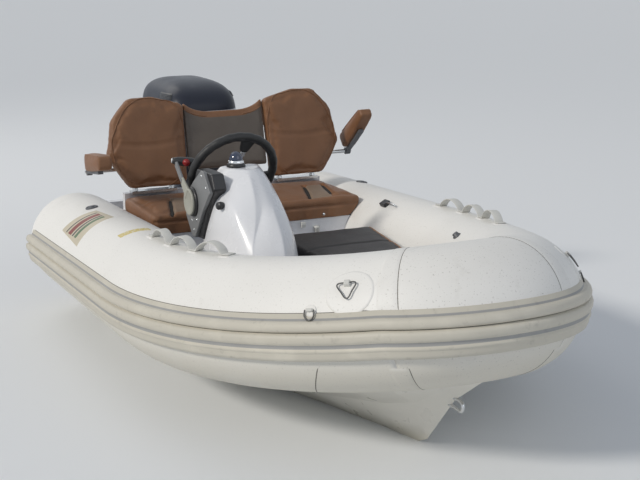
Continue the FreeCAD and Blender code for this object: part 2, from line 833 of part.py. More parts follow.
def build_fittings(tubes):
    parts = {}
    strap = build_grab_strap(tubes)
    parts["grab_strap_starboard"] = strap
    parts["grab_strap_port"] = mirrored(strap)
    lifting = build_ring_patch(lifting_x, lifting_rise, lifting_patch, 26, tubes)
    parts["lifting_ring_starboard"] = lifting
    parts["lifting_ring_port"] = mirrored(lifting)
    side_ring = build_ring_patch(side_ring_x, side_ring_rise, side_ring_patch, 10, tubes)
    parts["side_ring_starboard"] = side_ring
    parts["side_ring_port"] = mirrored(side_ring)
    foot, normal, ahead = on_tube(valve_x, valve_rise)
    valve = Part.makeCylinder(24, 40, foot - normal * 30, normal).cut(tubes)
    parts["valve_starboard"] = valve
    parts["valve_port"] = mirrored(valve)
    return parts


def main():
    parts = {}
    tubes = tube_space(bond)
    thick_tubes = tube_space(bond + locker_wall)
    clear_tubes = tube_space(lid_gap)
    parts.update(build_collar())
    parts["rub_strake"] = build_strake()
    hull = build_hull(tubes)
    parts["hull"] = hull
    deck = build_deck(tubes, hull)
    parts["deck"] = deck
    parts["transom"] = build_transom(tubes)
    parts["bench"] = build_bench(tubes, thick_tubes)
    parts.update(build_seat(tubes))
    parts.update(build_backs())
    parts["armrest_pad_starboard"], parts["armrest_bracket_starboard"] = arm_pieces(
        -1, arm_starboard_rise)
    parts["armrest_pad_port"], parts["armrest_bracket_port"] = arm_pieces(1, arm_port_rise)
    parts["console"], console_outer = build_console(tubes, thick_tubes, hull, deck)
    parts["helm"] = build_helm()
    parts["steering_wheel"] = build_wheel()
    parts.update(build_control(console_outer))
    parts.update(build_compass())
    parts["bow_moulding"] = build_moulding(tubes, thick_tubes, hull, deck)
    parts.update(build_lid(clear_tubes))
    parts["side_cushion"] = build_side_cushion(clear_tubes)
    parts["tow_eye"] = build_tow_eye(hull)
    parts.update(build_fittings(tubes))
    parts.update(build_motor())
    os.makedirs("parts", exist_ok=True)
    for name, shape in parts.items():
        if len(shape.Solids) == 1:
            shape = shape.Solids[0]
        shape.exportStep("parts/" + name + ".step")
        print(name, len(shape.Solids), shape.isValid(), round(shape.Volume / 1e6, 3))


main()
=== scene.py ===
"""Looks of a rigid inflatable tender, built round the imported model. Metres: +X bow, +Y port, +Z up.
The floor is the water surface at z = 0."""
import math

import bmesh
import bpy
from mathutils import Matrix, Vector, noise
from mathutils.bvhtree import BVHTree


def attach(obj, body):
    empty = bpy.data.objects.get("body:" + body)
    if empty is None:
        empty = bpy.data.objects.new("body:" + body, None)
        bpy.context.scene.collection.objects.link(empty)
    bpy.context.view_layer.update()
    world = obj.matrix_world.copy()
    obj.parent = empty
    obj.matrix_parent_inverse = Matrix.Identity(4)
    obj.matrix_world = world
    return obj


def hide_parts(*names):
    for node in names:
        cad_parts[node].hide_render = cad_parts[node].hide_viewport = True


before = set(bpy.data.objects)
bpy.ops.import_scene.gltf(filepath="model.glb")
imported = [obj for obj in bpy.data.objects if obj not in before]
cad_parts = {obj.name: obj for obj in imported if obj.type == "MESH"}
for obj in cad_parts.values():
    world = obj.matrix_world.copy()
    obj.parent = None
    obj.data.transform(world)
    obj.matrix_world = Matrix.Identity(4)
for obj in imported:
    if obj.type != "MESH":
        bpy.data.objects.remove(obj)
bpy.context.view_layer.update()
Z = Vector((0, 0, 1))
BY_LENGTH = ((1, "starboard"), (-1, "port"))  # sign of a length from the bow, and its side
BY_BREADTH = ((1, "port"), (-1, "starboard"))  # sign of y, and its side

# Sizes taken over from the model, in metres
TUBE_R = 0.215
SPACING = 1.212
END_X = 0.134
BOW_X = 2.532
BOW_BEND = 0.256
HEADING = math.radians(41.2)
STERN_Z = 0.319
SLOPE = 0.0393
BOW_Z = 0.548
STEERED, WHEEL, LID = "motor_steer", "steering_wheel", "bow_locker_lid"  # bodies that move


def lerp(a, b, t):
    return a + (b - a) * t


def mixed(p, q, t):
    return [lerp(a, b, t) for a, b in zip(p, q)]


def shares(count):
    """Even steps from 0 to 1."""
    return [k / count for k in range(count + 1)]


def clamp(value):
    return max(0.0, min(1.0, value))


def shade(colour, times, plus=0.0):
    return [min(1, c * times + plus) for c in colour]


def turns(count):
    return [2 * math.pi * k / count for k in range(count)]


def assign(thing, **settings):
    for key, value in settings.items():
        setattr(thing, key, value)
    return thing


def put_in(name, data):
    obj = bpy.data.objects.new(name, data)
    bpy.context.collection.objects.link(obj)
    return obj


# Camera and light

def look():
    """Camera at the photograph's angle: it stands off the starboard bow, above the rail."""
    place = (5.5765, -1.9660, 1.6306)
    yaw, pitch_down, roll = 1.128733, 0.235052, -0.004191
    focal_px, width_px, sensor_mm = 1237.744, 640, 36
    data = assign(bpy.data.cameras.new("camera"), sensor_width=sensor_mm,
                  lens=focal_px / width_px * sensor_mm)
    turn = Matrix.Translation(place)
    for angle, axis in ((yaw, "Z"), (math.pi / 2 - pitch_down, "X"), (roll, "Z")):
        turn = turn @ Matrix.Rotation(angle, 4, axis)
    bpy.context.scene.camera = assign(put_in("camera", data), matrix_world=turn)


def lamp(name, kind, way, power, colour, place=(0, 0, 0), **settings):
    """Lamp that shines along a direction."""
    data = assign(bpy.data.lights.new(name, kind), energy=power, color=colour, **settings)
    assign(put_in(name, data), location=place,
           rotation_euler=Vector(way).to_track_quat("-Z", "Y").to_euler())


def light():
    """Soft key from starboard, two wide lamps, and a pale backdrop that lights less than it shows."""
    lamp("key", "SUN", (-0.6, 5.4, -3.4), 1.75, (1.0, 0.95, 0.87), angle=math.radians(9))
    lamp("fill", "AREA", (-4.8, -1.2, -3.1), 30, (0.90, 0.94, 1.0), (6.0, 1.2, 3.4), shape="DISK", size=4.0)
    lamp("rim", "AREA", (5.0, 1.5, -4.5), 60, (1.0, 0.96, 0.90), (-4.4, -1.5, 5.0), shape="DISK", size=4.0)
    world = bpy.data.worlds.new("world")
    bpy.context.scene.world = world
    world.use_nodes = True
    tree = world.node_tree
    ambient = node_in(tree, "Background", {"Color": (0.80, 0.86, 0.96, 1), "Strength": 0.36})[0]
    pale = node_in(tree, "Background", {"Color": (0.66, 0.70, 0.74, 1)})[0]
    rays = node_in(tree, "LightPath")
    seen = rays["Is Camera Ray"]
    for kind in ("Is Glossy Ray", "Is Transmission Ray"):
        seen = node_in(tree, "Math", {0: seen, 1: rays[kind]}, operation="MAXIMUM")[0]
    both = node_in(tree, "MixShader", {0: seen, 1: ambient, 2: pale})[0]
    tree.links.new(both, tree.nodes["World Output"].inputs["Surface"])
    bpy.context.scene.view_settings.view_transform = "Standard"


def floor():
    mesh = bpy.data.meshes.new("water_level")
    far = 400
    mesh.from_pydata([(-far, -far, 0), (far, -far, 0), (far, far, 0), (-far, far, 0)], [], [(0, 1, 2, 3)])
    obj = put_in("water_level", mesh)
    obj.data.materials.append(Surface("pale_floor", (0.84, 0.86, 0.88), 0.7).finish())


# Materials

def node_in(tree, kind, sockets=None, **settings):
    """New shader node. Its sockets take links or values, and the settings are its own options."""
    made = assign(tree.nodes.new("ShaderNode" + kind), **settings)
    for key, value in (sockets or {}).items():
        if isinstance(value, bpy.types.NodeSocket):
            tree.links.new(value, made.inputs[key])
        else:
            made.inputs[key].default_value = value
    return made.outputs


class Surface:
    """A Principled material whose colour, roughness and bump are built up by nodes. A pattern is a
    noise, given as (scale, detail, roughness, stretch)."""

    def __init__(self, name, colour, rough, more=None):
        self.mat = bpy.data.materials.new(name)
        self.mat.use_nodes = True
        self.tree = self.mat.node_tree
        self.inputs = self.tree.nodes["Principled BSDF"].inputs
        for key, value in {"Roughness": rough, **(more or {})}.items():
            self.inputs[key].default_value = value
        self.rough = rough
        self.place = self.node("TexCoord")["Object"]
        self.colour = self.node("RGB")[0]
        self.colour.default_value = (*colour, 1)

    def node(self, kind, sockets=None, **settings):
        return node_in(self.tree, kind, sockets, **settings)

    def math(self, operation, *values):
        return self.node("Math", dict(enumerate(values)), operation=operation)[0]

    def noise(self, scale, detail, rough=0.55, stretch=None):
        at = self.node("Mapping", {"Vector": self.place, "Scale": stretch})[0] if stretch else self.place
        return self.node("TexNoise", {"Vector": at, "Scale": scale, "Detail": detail,
                                      "Roughness": rough})["Fac"]

    def cells(self, scale):
        return self.node("TexVoronoi", {"Vector": self.place, "Scale": scale})["Distance"]

    def band(self, value, low, high):
        """0 below low, 1 above high, smooth between."""
        return self.node("MapRange", {"Value": value, "From Min": low, "From Max": high},
                         interpolation_type="SMOOTHSTEP")[0]

    def tint(self, mask, colour, strength):
        """Lays a colour over what is there, where the mask is high."""
        share = self.math("MULTIPLY", mask, strength)
        self.colour = self.node("Mix", {0: share, 6: self.colour, 7: (*colour, 1)}, data_type="RGBA")[2]

    def clouds(self, pattern, low, high, colour, strength):
        """Patches of another colour where a noise is high."""
        self.tint(self.band(self.noise(*pattern), low, high), colour, strength)

    def finish(self, pattern=None, amount=0.0, *reliefs):
        """Varies the roughness by a pattern and lays reliefs over each other. A relief is (pattern or
        socket, distance, strength)."""
        self.tree.links.new(self.colour, self.inputs["Base Color"])
        if pattern:
            value = self.math("MULTIPLY_ADD", self.noise(*pattern), amount, self.rough - amount / 2)
            self.tree.links.new(value, self.inputs["Roughness"])
        below = {}
        for height, distance, strength in reliefs:
            height = self.noise(*height) if isinstance(height, tuple) else height
            below = {"Normal": self.node("Bump", {"Strength": strength, "Distance": distance,
                                                  "Height": height, **below})[0]}
        for key, socket in below.items():
            self.tree.links.new(socket, self.inputs[key])
        return self.mat


def tube_fabric(name, colour, dirt):
    """Coated tube fabric: fine weave under the coat, cloudy soiling, dark specks, and painted shade in a
    darker tan on the faces that turn downward.
    """
    s = Surface(name, colour, 0.52)
    up = s.node("SeparateXYZ", {"Vector": s.node("NewGeometry")["Normal"]})["Z"]
    # Painted shade: faces turned downward are tinted a darker tan, standing in for the shade under the tube.
    s.tint(s.band(s.math("MULTIPLY", up, -1.0), -0.15, 0.65), (0.60, 0.565, 0.475), 0.75)
    s.clouds((2.2, 4), 0.45, 0.75, shade(colour, 0.90), 0.5 * dirt)
    s.clouds((9, 6, 0.7), 0.56, 0.80, (0.50, 0.48, 0.43), 0.35 * dirt)
    s.clouds((160, 2, 0.6), 0.63, 0.72, (0.36, 0.34, 0.31), 0.55 * dirt)
    return s.finish((14, 3), 0.14, ((620, 1), 0.0004, 0.35), ((5, 2), 0.004, 0.25))


def moulded(name, colour, rough=0.4, grain=520, depth=0.0003, wear=0.25):
    """Moulded plastic or rubber with a fine grain and slightly faded patches."""
    s = Surface(name, colour, rough)
    s.clouds((6, 4), 0.5, 0.8, shade(colour, 1.25, 0.02), wear)
    s.clouds((38, 4), 0.58, 0.78, shade(colour, 0.7), wear)
    return s.finish((20, 3), 0.12, ((grain, 2), depth, 0.4))


def gelcoat():
    s = Surface("gelcoat", (0.80, 0.81, 0.84), 0.27, {"Coat Weight": 0.35, "Coat Roughness": 0.06})
    s.clouds((3, 4), 0.5, 0.78, (0.74, 0.75, 0.77), 0.5)
    s.clouds((55, 5, 0.7), 0.62, 0.80, (0.50, 0.49, 0.46), 0.22)
    return s.finish((11, 4), 0.14, ((4, 2), 0.002, 0.2))


def hull_gelcoat():
    """Hull sides: stained and scuffed towards the waterline."""
    s = Surface("hull_gelcoat", (0.72, 0.70, 0.64), 0.30, {"Coat Weight": 0.25})
    height = s.node("SeparateXYZ", {0: s.place})["Z"]
    uneven = s.math("ADD", height, s.math("MULTIPLY", s.noise(9, 4), 0.05))
    s.tint(s.math("SUBTRACT", 1.0, s.band(uneven, 0.02, 0.10)), (0.42, 0.385, 0.29), 0.6)
    s.clouds((5, 5, 0.7, (0.4, 1, 5)), 0.52, 0.78, (0.60, 0.59, 0.55), 0.35)
    return s.finish((16, 4), 0.2, ((30, 3), 0.0006, 0.3))


def vinyl(name, colour, light, sheen=0.06):
    """Marine upholstery: pebbled grain, lighter sun-faded patches and darker soiled patches."""
    s = Surface(name, colour, 0.55, {"Sheen Weight": sheen, "Sheen Roughness": 0.5})
    s.clouds((7, 4), 0.42, 0.72, light, 0.55)
    s.clouds((26, 5, 0.65), 0.55, 0.78, shade(colour, 0.6), 0.45)
    return s.finish((12, 3), 0.16, (s.cells(520.0), 0.0005, 0.5), ((20, 3), 0.003, 0.25))


def webbing(name, colour):
    """Flat woven tape: fine ribs across, soiled in patches."""
    s = Surface(name, colour, 0.75, {"Sheen Weight": 0.1})
    s.clouds((30, 4), 0.5, 0.8, shade(colour, 0.72), 0.5)
    return s.finish((40, 2), 0.12, ((900, 1, 0.55, (1, 1, 0.3)), 0.0006, 0.6))


def worn_print(name, colour, under):
    """Print rubbed away in flakes down to the fabric."""
    s = Surface(name, colour, 0.55)
    s.clouds((120, 6, 0.75), 0.52, 0.60, under, 0.85)
    s.clouds((34, 4), 0.58, 0.68, under, 0.7)
    return s.finish((14, 3), 0.12, ((620, 1), 0.0004, 0.35))


def steel(name, colour, rough):
    s = Surface(name, colour, rough, {"Metallic": 1.0})
    s.clouds((40, 4), 0.55, 0.8, (0.45, 0.43, 0.40), 0.3)
    return s.finish((60, 3, 0.55, (1, 8, 1)), 0.18, ((300, 2), 0.0002, 0.2))


def motor_paint(name, colour, rough, coat=0.7):
    s = Surface(name, colour, rough, {"Coat Weight": coat, "Coat Roughness": 0.08,
                                      "Specular IOR Level": 0.3})
    s.tint(s.band(s.cells(1400.0), 0.0, 0.35), shade(colour, 1.5, 0.01), 0.25)
    s.clouds((9, 5), 0.55, 0.8, shade(colour, 1.8, 0.03), 0.25)
    return s.finish((15, 4), 0.14, ((420, 2), 0.0001, 0.2))


def glossy(name, colour):
    s = Surface(name, colour, 0.05, {"Coat Weight": 1.0})
    s.clouds((30, 3), 0.6, 0.85, shade(colour, 2, 0.02), 0.3)
    return s.finish((25, 3), 0.05)


# Meshes

def new_mesh(name, verts, faces, material, body="boat", smooth=True, slot=None, node=None):
    """Piece that rides on a body. It may stand for a node of the model. Its slot argument is not used."""
    mesh = bpy.data.meshes.new(name)
    mesh.from_pydata([tuple(v) for v in verts], [], faces)
    mesh.validate()
    obj = put_in(name, mesh)
    tool = bmesh.new()
    tool.from_mesh(mesh)
    bmesh.ops.remove_doubles(tool, verts=tool.verts, dist=0.00001)
    bmesh.ops.recalc_face_normals(tool, faces=tool.faces)
    tool.to_mesh(mesh)
    tool.free()
    mesh.polygons.foreach_set("use_smooth", [smooth] * len(mesh.polygons))
    mesh.materials.append(MATS[material])
    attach(obj, body)
    if node:
        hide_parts(node)
    return obj


def grid_faces(rows, cols, ring=False, loop=False):
    """Quads between rows of points. A ring joins the last column to the first, a loop the rows."""
    faces = []
    for i in range(rows if loop else rows - 1):
        here, there = i * cols, (i + 1) % rows * cols
        for j in range(cols if ring else cols - 1):
            k = (j + 1) % cols
            faces.append((here + j, here + k, there + k, there + j))
    return faces


def capped_faces(rows, cols, ring=True):
    """The same with a face over the first row and one over the last."""
    return grid_faces(rows, cols, ring) + [tuple(range(cols)), tuple(range((rows - 1) * cols, rows * cols))]


def patch(name, place, rows, cols, out, rim, material, **options):
    """Thin piece on a surface: place turns two shares and a stand-off into a point. Its rim lies
    under the surface."""
    verts = [place(u, v, rim if u in (0, 1) or v in (0, 1) else out)
             for u in shares(rows) for v in shares(cols)]
    new_mesh(name, verts, grid_faces(rows + 1, cols + 1), material, **options)


def modifier(obj, kind, **settings):
    return assign(obj.modifiers.new(kind.lower(), kind), **settings)


def soften(obj, width, segments=3, angle=35):
    """Rounds the hard edges of a piece."""
    modifier(obj, "BEVEL", width=width, segments=segments, limit_method="ANGLE",
             angle_limit=math.radians(angle), harden_normals=True)


def settle(obj):
    """Applies a piece's modifiers."""
    graph = bpy.context.evaluated_depsgraph_get()
    mesh = bpy.data.meshes.new_from_object(obj.evaluated_get(graph))
    obj.modifiers.clear()
    obj.data = mesh
    mesh.polygons.foreach_set("use_smooth", [True] * len(mesh.polygons))


def smoother(obj, levels):
    modifier(obj, "SUBSURF", levels=levels, render_levels=levels)
    settle(obj)


def lathe(name, profile, origin, axis, material, around=48, **options):
    """Turned piece from (radius, height) pairs in millimetres along an axis."""
    axis = Vector(axis).normalized()
    side = axis.orthogonal().normalized()
    up = axis.cross(side)
    verts = [Vector(origin) + (axis * height + (side * math.cos(a) + up * math.sin(a)) * radius) / 1000
             for radius, height in profile for a in turns(around)]
    return new_mesh(name, verts, capped_faces(len(profile), around), material, **options)


def beside(points, k, closed):
    """The k-th point of a line; past its ends comes the end again, or the other end of a closed one."""
    return points[k % len(points)] if closed else points[min(max(k, 0), len(points) - 1)]


def curve_through(points, per=8, closed=False):
    """Catmull-Rom curve through points."""
    points = [Vector(p) for p in points]
    out = []
    for i in range(len(points) if closed else len(points) - 1):
        p0, p1, p2, p3 = (beside(points, i + k, closed) for k in (-1, 0, 1, 2))
        for k in range(per):
            t = k / per
            out.append(0.5 * ((2 * p1) + (p2 - p0) * t + (2 * p0 - 5 * p1 + 4 * p2 - p3) * t * t
                              + (3 * p1 - p0 - 3 * p2 + p3) * t * t * t))
    return out if closed else out + [points[-1]]


def sweep(name, points, shape, material, up=Z, closed=False, scales=None, **options):
    """Section of (sideways, up) pairs carried along points, with up kept near a vector or a list."""
    verts = []
    for i, point in enumerate(points):
        ahead = (beside(points, i + 1, closed) - beside(points, i - 1, closed)).normalized()
        side = ahead.cross(up[i] if isinstance(up, list) else Vector(up)).normalized()
        lift = side.cross(ahead)
        k = scales[i] if scales else 1.0
        verts += [point + (side * a + lift * b) * k for a, b in shape]
    rows, cols = len(points), len(shape)
    faces = grid_faces(rows, cols, True, True) if closed else capped_faces(rows, cols)
    return new_mesh(name, verts, faces, material, **options)


def oblong(half_w, half_h, corner, per=4):
    """Rounded rectangle as (sideways, up) pairs."""
    out = []
    for sx, sy, start in ((1, 1, 0), (-1, 1, 90), (-1, -1, 180), (1, -1, 270)):
        for k in range(per + 1):
            a = math.radians(start + 90 * k / per)
            out.append((sx * (half_w - corner) + corner * math.cos(a),
                        sy * (half_h - corner) + corner * math.sin(a)))
    return out


def pipe(name, points, radius, material, around=10, **options):
    shape = [(radius * math.cos(a), radius * math.sin(a)) for a in turns(around)]
    return sweep(name, points, shape, material, **options)


def tree_of(obj):
    return BVHTree.FromObject(obj, bpy.context.evaluated_depsgraph_get())


def laid_on(obj, points, lift=0.0):
    """Points moved to the nearest place on a piece, and its normals there."""
    tree = tree_of(obj)
    found = [tree.find_nearest(Vector(point))[:2] for point in points]
    return [near + normal * lift for near, normal in found], [normal for _, normal in found]


def furrow(obj, points, width, depth):
    """Presses a sewn channel into a soft piece along a line."""
    line, _ = laid_on(obj, points)
    low = [min(p[k] for p in line) - width for k in range(3)]
    high = [max(p[k] for p in line) + width for k in range(3)]
    points, normals = places(obj)
    for index, (co, normal) in enumerate(zip(points, normals)):
        if any(co[k] < low[k] or co[k] > high[k] for k in range(3)):
            continue
        best = width
        for a, b in zip(line, line[1:]):
            span = b - a
            t = clamp((co - a).dot(span) / max(span.length_squared, 1e-12))
            best = min(best, (co - (a + span * t)).length)
        if best < width:
            share = 1 - (best / width) ** 2
            points[index] = co - normal * (depth * share * share)
    put_back(obj, points)


# The collar's centreline: two arcs and a run on each side

def lay_spine():
    """Parts of the starboard half from the bow aft: start, direction, centre and axis of the bend,
    length and turn. A run has no bend."""
    half = SPACING / 2
    reach = BOW_BEND * math.tan((math.pi / 2 - HEADING) / 2)
    quarter_x = BOW_X - (half - reach) / math.tan(HEADING)
    corners = [Vector((BOW_X, 0, BOW_Z)), Vector((BOW_X, -reach, BOW_Z))]
    corners += [Vector((x, -half, STERN_Z + SLOPE * (x - END_X))) for x in (quarter_x, END_X)]
    parts = []
    for i, length in ((1, reach), (2, (corners[1] - corners[2]).length - reach)):
        arrive = (corners[i] - corners[i - 1]).normalized()
        leave = (corners[i + 1] - corners[i]).normalized()
        start = corners[i] - arrive * length
        turn = arrive.angle(leave)
        axis = arrive.cross(leave).normalized()
        radius = length / math.tan(turn / 2)
        parts.append((start, arrive, start + axis.cross(arrive) * radius, axis, radius * turn, turn))
        at = corners[i] + leave * length
    run = corners[-1] - at
    return parts + [(at, run.normalized(), None, None, run.length, 0)]


SPINE = lay_spine()
SIDE_LENGTH = sum(part[4] for part in SPINE)


def spine(s):
    """Point and direction of the centreline at a length aft of the bow; negative is to port."""
    flip = -1 if s < 0 else 1
    s = abs(s)
    for start, ahead, centre, axis, length, turn in SPINE:
        if s <= length or not turn:
            break
        s -= length
    point, direction = start + ahead * s, ahead
    if turn:
        bend = Matrix.Rotation(turn * s / length, 3, axis)
        point, direction = bend @ (start - centre) + centre, bend @ ahead
    return (Vector((point.x, flip * point.y, point.z)),
            Vector((flip * direction.x, direction.y, flip * direction.z)))


def on_tube(s, angle, out=0.0):
    """Point at a length from the bow and an angle up from the outer side, in degrees."""
    point, direction = spine(s)
    side = Z.cross(direction).normalized()
    up = direction.cross(side)
    a = math.radians(angle)
    return point + (side * math.cos(a) + up * math.sin(a)) * (TUBE_R + out)


def normal_at(s, angle):
    return (on_tube(s, angle, 0.01) - on_tube(s, angle)).normalized()


def s_at(x):
    """Length aft of the bow at which the centreline reaches an x."""
    low, high = 0.0, SIDE_LENGTH
    for _ in range(40):
        mid = (low + high) / 2
        if spine(mid)[0].x > x:
            low = mid
        else:
            high = mid
    return low


# Collar

SEAM = {"starboard": 0.2075, "port": 0.130}  # lengths from the bow


def tube_chamber(name, s0, s1, steps, material, dome=False):
    """Skin of one chamber. Its ends are closed, at the stern by a dome."""
    around = 96
    verts = [on_tube(lerp(s0, s1, t), 360 * j / around, -0.0002)
             for t in shares(steps) for j in range(around)]
    if dome:
        centre, direction = spine(s1)
        direction = direction * (-1 if s1 < 0 else 1)
        rim = verts[-around:]
        for k in range(1, 25):
            a = math.radians(90 * k / 24.5)
            verts += [centre + (p - centre) * math.cos(a) + direction * (TUBE_R * math.sin(a)) for p in rim]
    new_mesh(name + "_skin", verts, capped_faces(len(verts) // around, around), material,
             slot="tube_fabric", node=name)


def skin_patch(name, low, high, material, out, along, across):
    """Thin piece glued on the tube between two edges. Both ends of an edge are given as (length from
    the bow, angle)."""
    def place(u, v, lift):
        return on_tube(*mixed(mixed(*low, u), mixed(*high, u), v), lift)

    patch(name, place, along, across, out, -0.0004, material)


def stripe(name, s0, s1, a0, a1, material, out, along, across):
    skin_patch(name, ((s0, a0), (s1, a0)), ((s0, a1), (s1, a1)), material, out, along, across)


def disc_patch(name, s, angle, radius, material, out, node):
    verts = [on_tube(s, angle, out)]
    rings = [(0.5, out), (0.9, out), (0.985, out * 0.8), (1.0, -0.0003)]
    around = 48
    for share, lift in rings:
        verts += [on_tube(s + radius * share * math.cos(a),
                          angle + math.degrees(radius * share * math.sin(a) / TUBE_R), lift)
                  for a in turns(around)]
    faces = [(0, 1 + k, 1 + (k + 1) % around) for k in range(around)]
    faces += [tuple(1 + k for k in face) for face in grid_faces(len(rings), around, True)]
    new_mesh(name, verts, faces, material, node=node)


def square_patch(name, s, angle, long, wide, material, out):
    """Rectangular piece glued on the tube."""
    high = math.degrees(wide / 2 / TUBE_R)
    stripe(name, s - long / 2, s + long / 2, angle - high, angle + high, material, out, 16, 12)


STRAKE_BANDS = [
    # height from the groove and stand-off in millimetres, material index
    # Material 2 is painted shade: the bottom of the groove and the shadow line under the strake's foot.
    (57, 0, 0), (55, 2.4, 0), (42, 3.2, 0), (41, 4.6, 1), (34, 5.4, 1), (33, 9, 0), (32, 18, 0),
    (28, 24, 0), (22, 27, 0), (14, 28, 0), (7, 26, 0), (2.5, 21, 0), (0.8, 13, 2), (-0.8, 13, 2),
    (-2.5, 21, 0), (-7, 27, 0), (-14, 29, 0), (-24, 28, 0), (-31, 25, 0), (-34, 21, 1),
    (-38, 19.5, 1), (-45, 19.5, 1), (-47, 21.5, 0), (-50, 24, 0), (-54, 24, 0), (-57, 21.5, 0),
    (-60, 21, 0), (-70, 22, 0), (-80, 20, 0), (-86, 13, 0), (-88, 4, 2), (-89, 0, 2)]


def groove_angle(s):
    """Place of the strake's groove up the tube, in degrees."""
    return 8.0 - 4.4 * min(1, abs(s) / SIDE_LENGTH)


def rub_strake(materials):
    """Ribbed strake from stern to stern, in bands of its materials."""
    steps = 300
    cols = len(STRAKE_BANDS)
    verts = []
    for s in (lerp(-SIDE_LENGTH, SIDE_LENGTH, t) for t in shares(steps)):
        verts += [on_tube(s, groove_angle(s) + math.degrees(height / 1000 / TUBE_R), out / 1000)
                  for height, out, _ in STRAKE_BANDS]
    obj = new_mesh("rub_strake_skin", verts, capped_faces(steps + 1, cols, False), materials[0],
                   slot="strake_rubber", node="rub_strake")
    for material in materials[1:]:
        obj.data.materials.append(MATS[material])
    for index, polygon in enumerate(obj.data.polygons[:steps * (cols - 1)]):
        column = index % (cols - 1)
        polygon.material_index = min(band[2] for band in STRAKE_BANDS[column:column + 2])


def build_collar():
    """Three chambers, the strake, and tapes, seams and thin lines on both sides."""
    tube_chamber("tube_bow", -SEAM["port"], SEAM["starboard"], 44, "tube_bow")
    for side, name in BY_LENGTH:
        tube_chamber("tube_" + name, side * SEAM[name], side * SIDE_LENGTH, 150, "tube", True)
    # The third material gives the dark seams and the painted shade in the strake's groove and under its foot.
    rub_strake(["cream", "strake_grey", "seam_and_painted_shadow"])
    start, end = 0.24, SIDE_LENGTH - 0.02
    for side, name in BY_LENGTH:
        seam = SEAM[name]
        for part, low, high in (("over", 22, 214), ("under", -150, -26)):
            for kind, aft, fore, key, out, along in (("tape", 0.020, 0.020, "tube_bow", 0.0013, 8),
                                                     ("line", 0.0215, -0.0198, "seam_and_painted_shadow", 0.0007, 2)):
                stripe("seam_%s_%s_%s" % (kind, part, name), side * (seam - aft), side * (seam + fore), low,
                       high, key, out, along, 60)
        # Thin dark lines along the strake's top edge and foot; the one at the foot is a painted shadow under
        # the strake.
        for k, shift in enumerate((15.2, -23.9)):
            low, high = (((side * start, groove_angle(start) + edge), (side * end, groove_angle(end) + edge))
                         for edge in (shift - 0.6, shift + 0.6))
            skin_patch("strake_line_%d_%s" % (k, name), low, high, "seam_and_painted_shadow", 0.0006, 120, 2)
        low, high = (((side * s, -24), (side * (s + 0.092), -70)) for s in (0.430, 0.434))
        skin_patch("under_seam_" + name, low, high, "seam_and_painted_shadow", 0.0007, 30, 2)


STRAP_ANGLE = 88
STRAP_HALF = 0.017
STRAP_RISE = 0.036
STRAP_FEET = [s_at(x) for x in (1.298, 1.487, 1.676, 1.865)]


def grab_straps():
    """Webbing sewn to pads on the tube: it lies flat at each foot and stands up between them."""
    for side, name in BY_LENGTH:
        points, lifts = [], []
        for foot in sorted(STRAP_FEET, reverse=True):
            centre = on_tube(side * foot, STRAP_ANGLE, 0.0056)
            normal = normal_at(side * foot, STRAP_ANGLE)
            ahead = (on_tube(side * (foot - 0.01), STRAP_ANGLE)
                     - on_tube(side * (foot + 0.01), STRAP_ANGLE)).normalized()
            if points:
                last = points[-1]
                gap = centre - ahead * 0.020 - last
                points += [last + gap * t + Z * (STRAP_RISE * math.sin(math.pi * t) ** 0.62)
                           for t in shares(20)[1:-1]]
            points += [centre + ahead * d for d in (-0.020, -0.010, 0.0, 0.010, 0.020)]
            lifts += [normal] * (len(points) - len(lifts))
        body = sweep("grab_webbing_" + name, points, oblong(STRAP_HALF, 0.0018, 0.0015, 2), "webbing",
                     up=lifts, slot="white_fitting", node="grab_strap_" + name)
        sum((q - w).length for q, w in zip(points, points[1:]))
        for k, foot in enumerate(STRAP_FEET):
            square_patch("strap_pad_%s_%d" % (name, k), side * foot, STRAP_ANGLE, 0.062, 0.050,
                         "tube_bow", 0.0030)
            for row in (-12, 12):
                angle = STRAP_ANGLE + math.degrees(row / 1000 / TUBE_R)
                line = [on_tube(side * (foot - 0.016 + 0.032 * t), angle, 0.0078) for t in shares(6)]
                pipe("strap_stitch_%s_%d_%d" % (name, k, row), line, 0.0007, "thread", 5)


def wire_on_tube(name, side, line, out, per, radius, normal, material, closed=False):
    """Bent wire that stands over the tube, through (length, angle) pairs."""
    loop = curve_through([on_tube(side * s, a, out) for s, a in line], per, closed)
    pipe(name, loop, radius, material, closed=closed, up=[normal] * len(loop), slot="white_fitting")


def rings():
    """Lifting rings and small side rings, each on its patch, and the valve caps."""
    corners = [(0.352, 45.0), (0.284, 46.5), (0.309, 31.0)]
    triangle = [mixed(a, b, t) for a, b in zip(corners, corners[1:] + corners[:1])
                for t in (0.16, 0.5, 0.84)]
    bend = [(0.438, 25), (0.439, 20.5), (0.432, 17.5), (0.424, 16.6), (0.416, 17.5), (0.409, 20.5),
            (0.410, 25)]
    cap = [(24.5, -10), (26.5, 0), (26.2, 3), (24, 5.2), (21, 5.2), (19.5, 3.5), (19, 2), (12, 2.2),
           (11.2, 5.2), (10, 7.2), (4, 7.8), (0.4, 7.8)]
    for side, name in BY_LENGTH:
        disc_patch("lifting_patch_" + name, side * 0.309, 39, 0.074, "tube", 0.0020,
                   "lifting_ring_" + name)
        wire_on_tube("lifting_wire_" + name, side, triangle, 0.0105, 6, 0.0022, normal_at(side * 0.317, 39),
                     "wire", True)
        stripe("lifting_loop_" + name, side * 0.306, side * 0.328, 43.4, 48.4, "webbing", 0.0135, 8, 10)
        disc_patch("side_patch_" + name, side * 0.424, 24.5, 0.019, "tube_bow", 0.0030,
                   "side_ring_" + name)
        wire_on_tube("side_wire_" + name, side, bend, 0.009, 5, 0.0023, normal_at(side * 0.424, 22),
                     "wire")
        stripe("side_loop_" + name, side * 0.412, side * 0.436, 23.4, 26.4, "webbing", 0.0115, 8, 8)
        place = side * s_at(0.530), 80
        lathe("valve_cap_" + name, cap, on_tube(*place), normal_at(*place), "grey",
              slot="grey_fitting", node="valve_" + name)


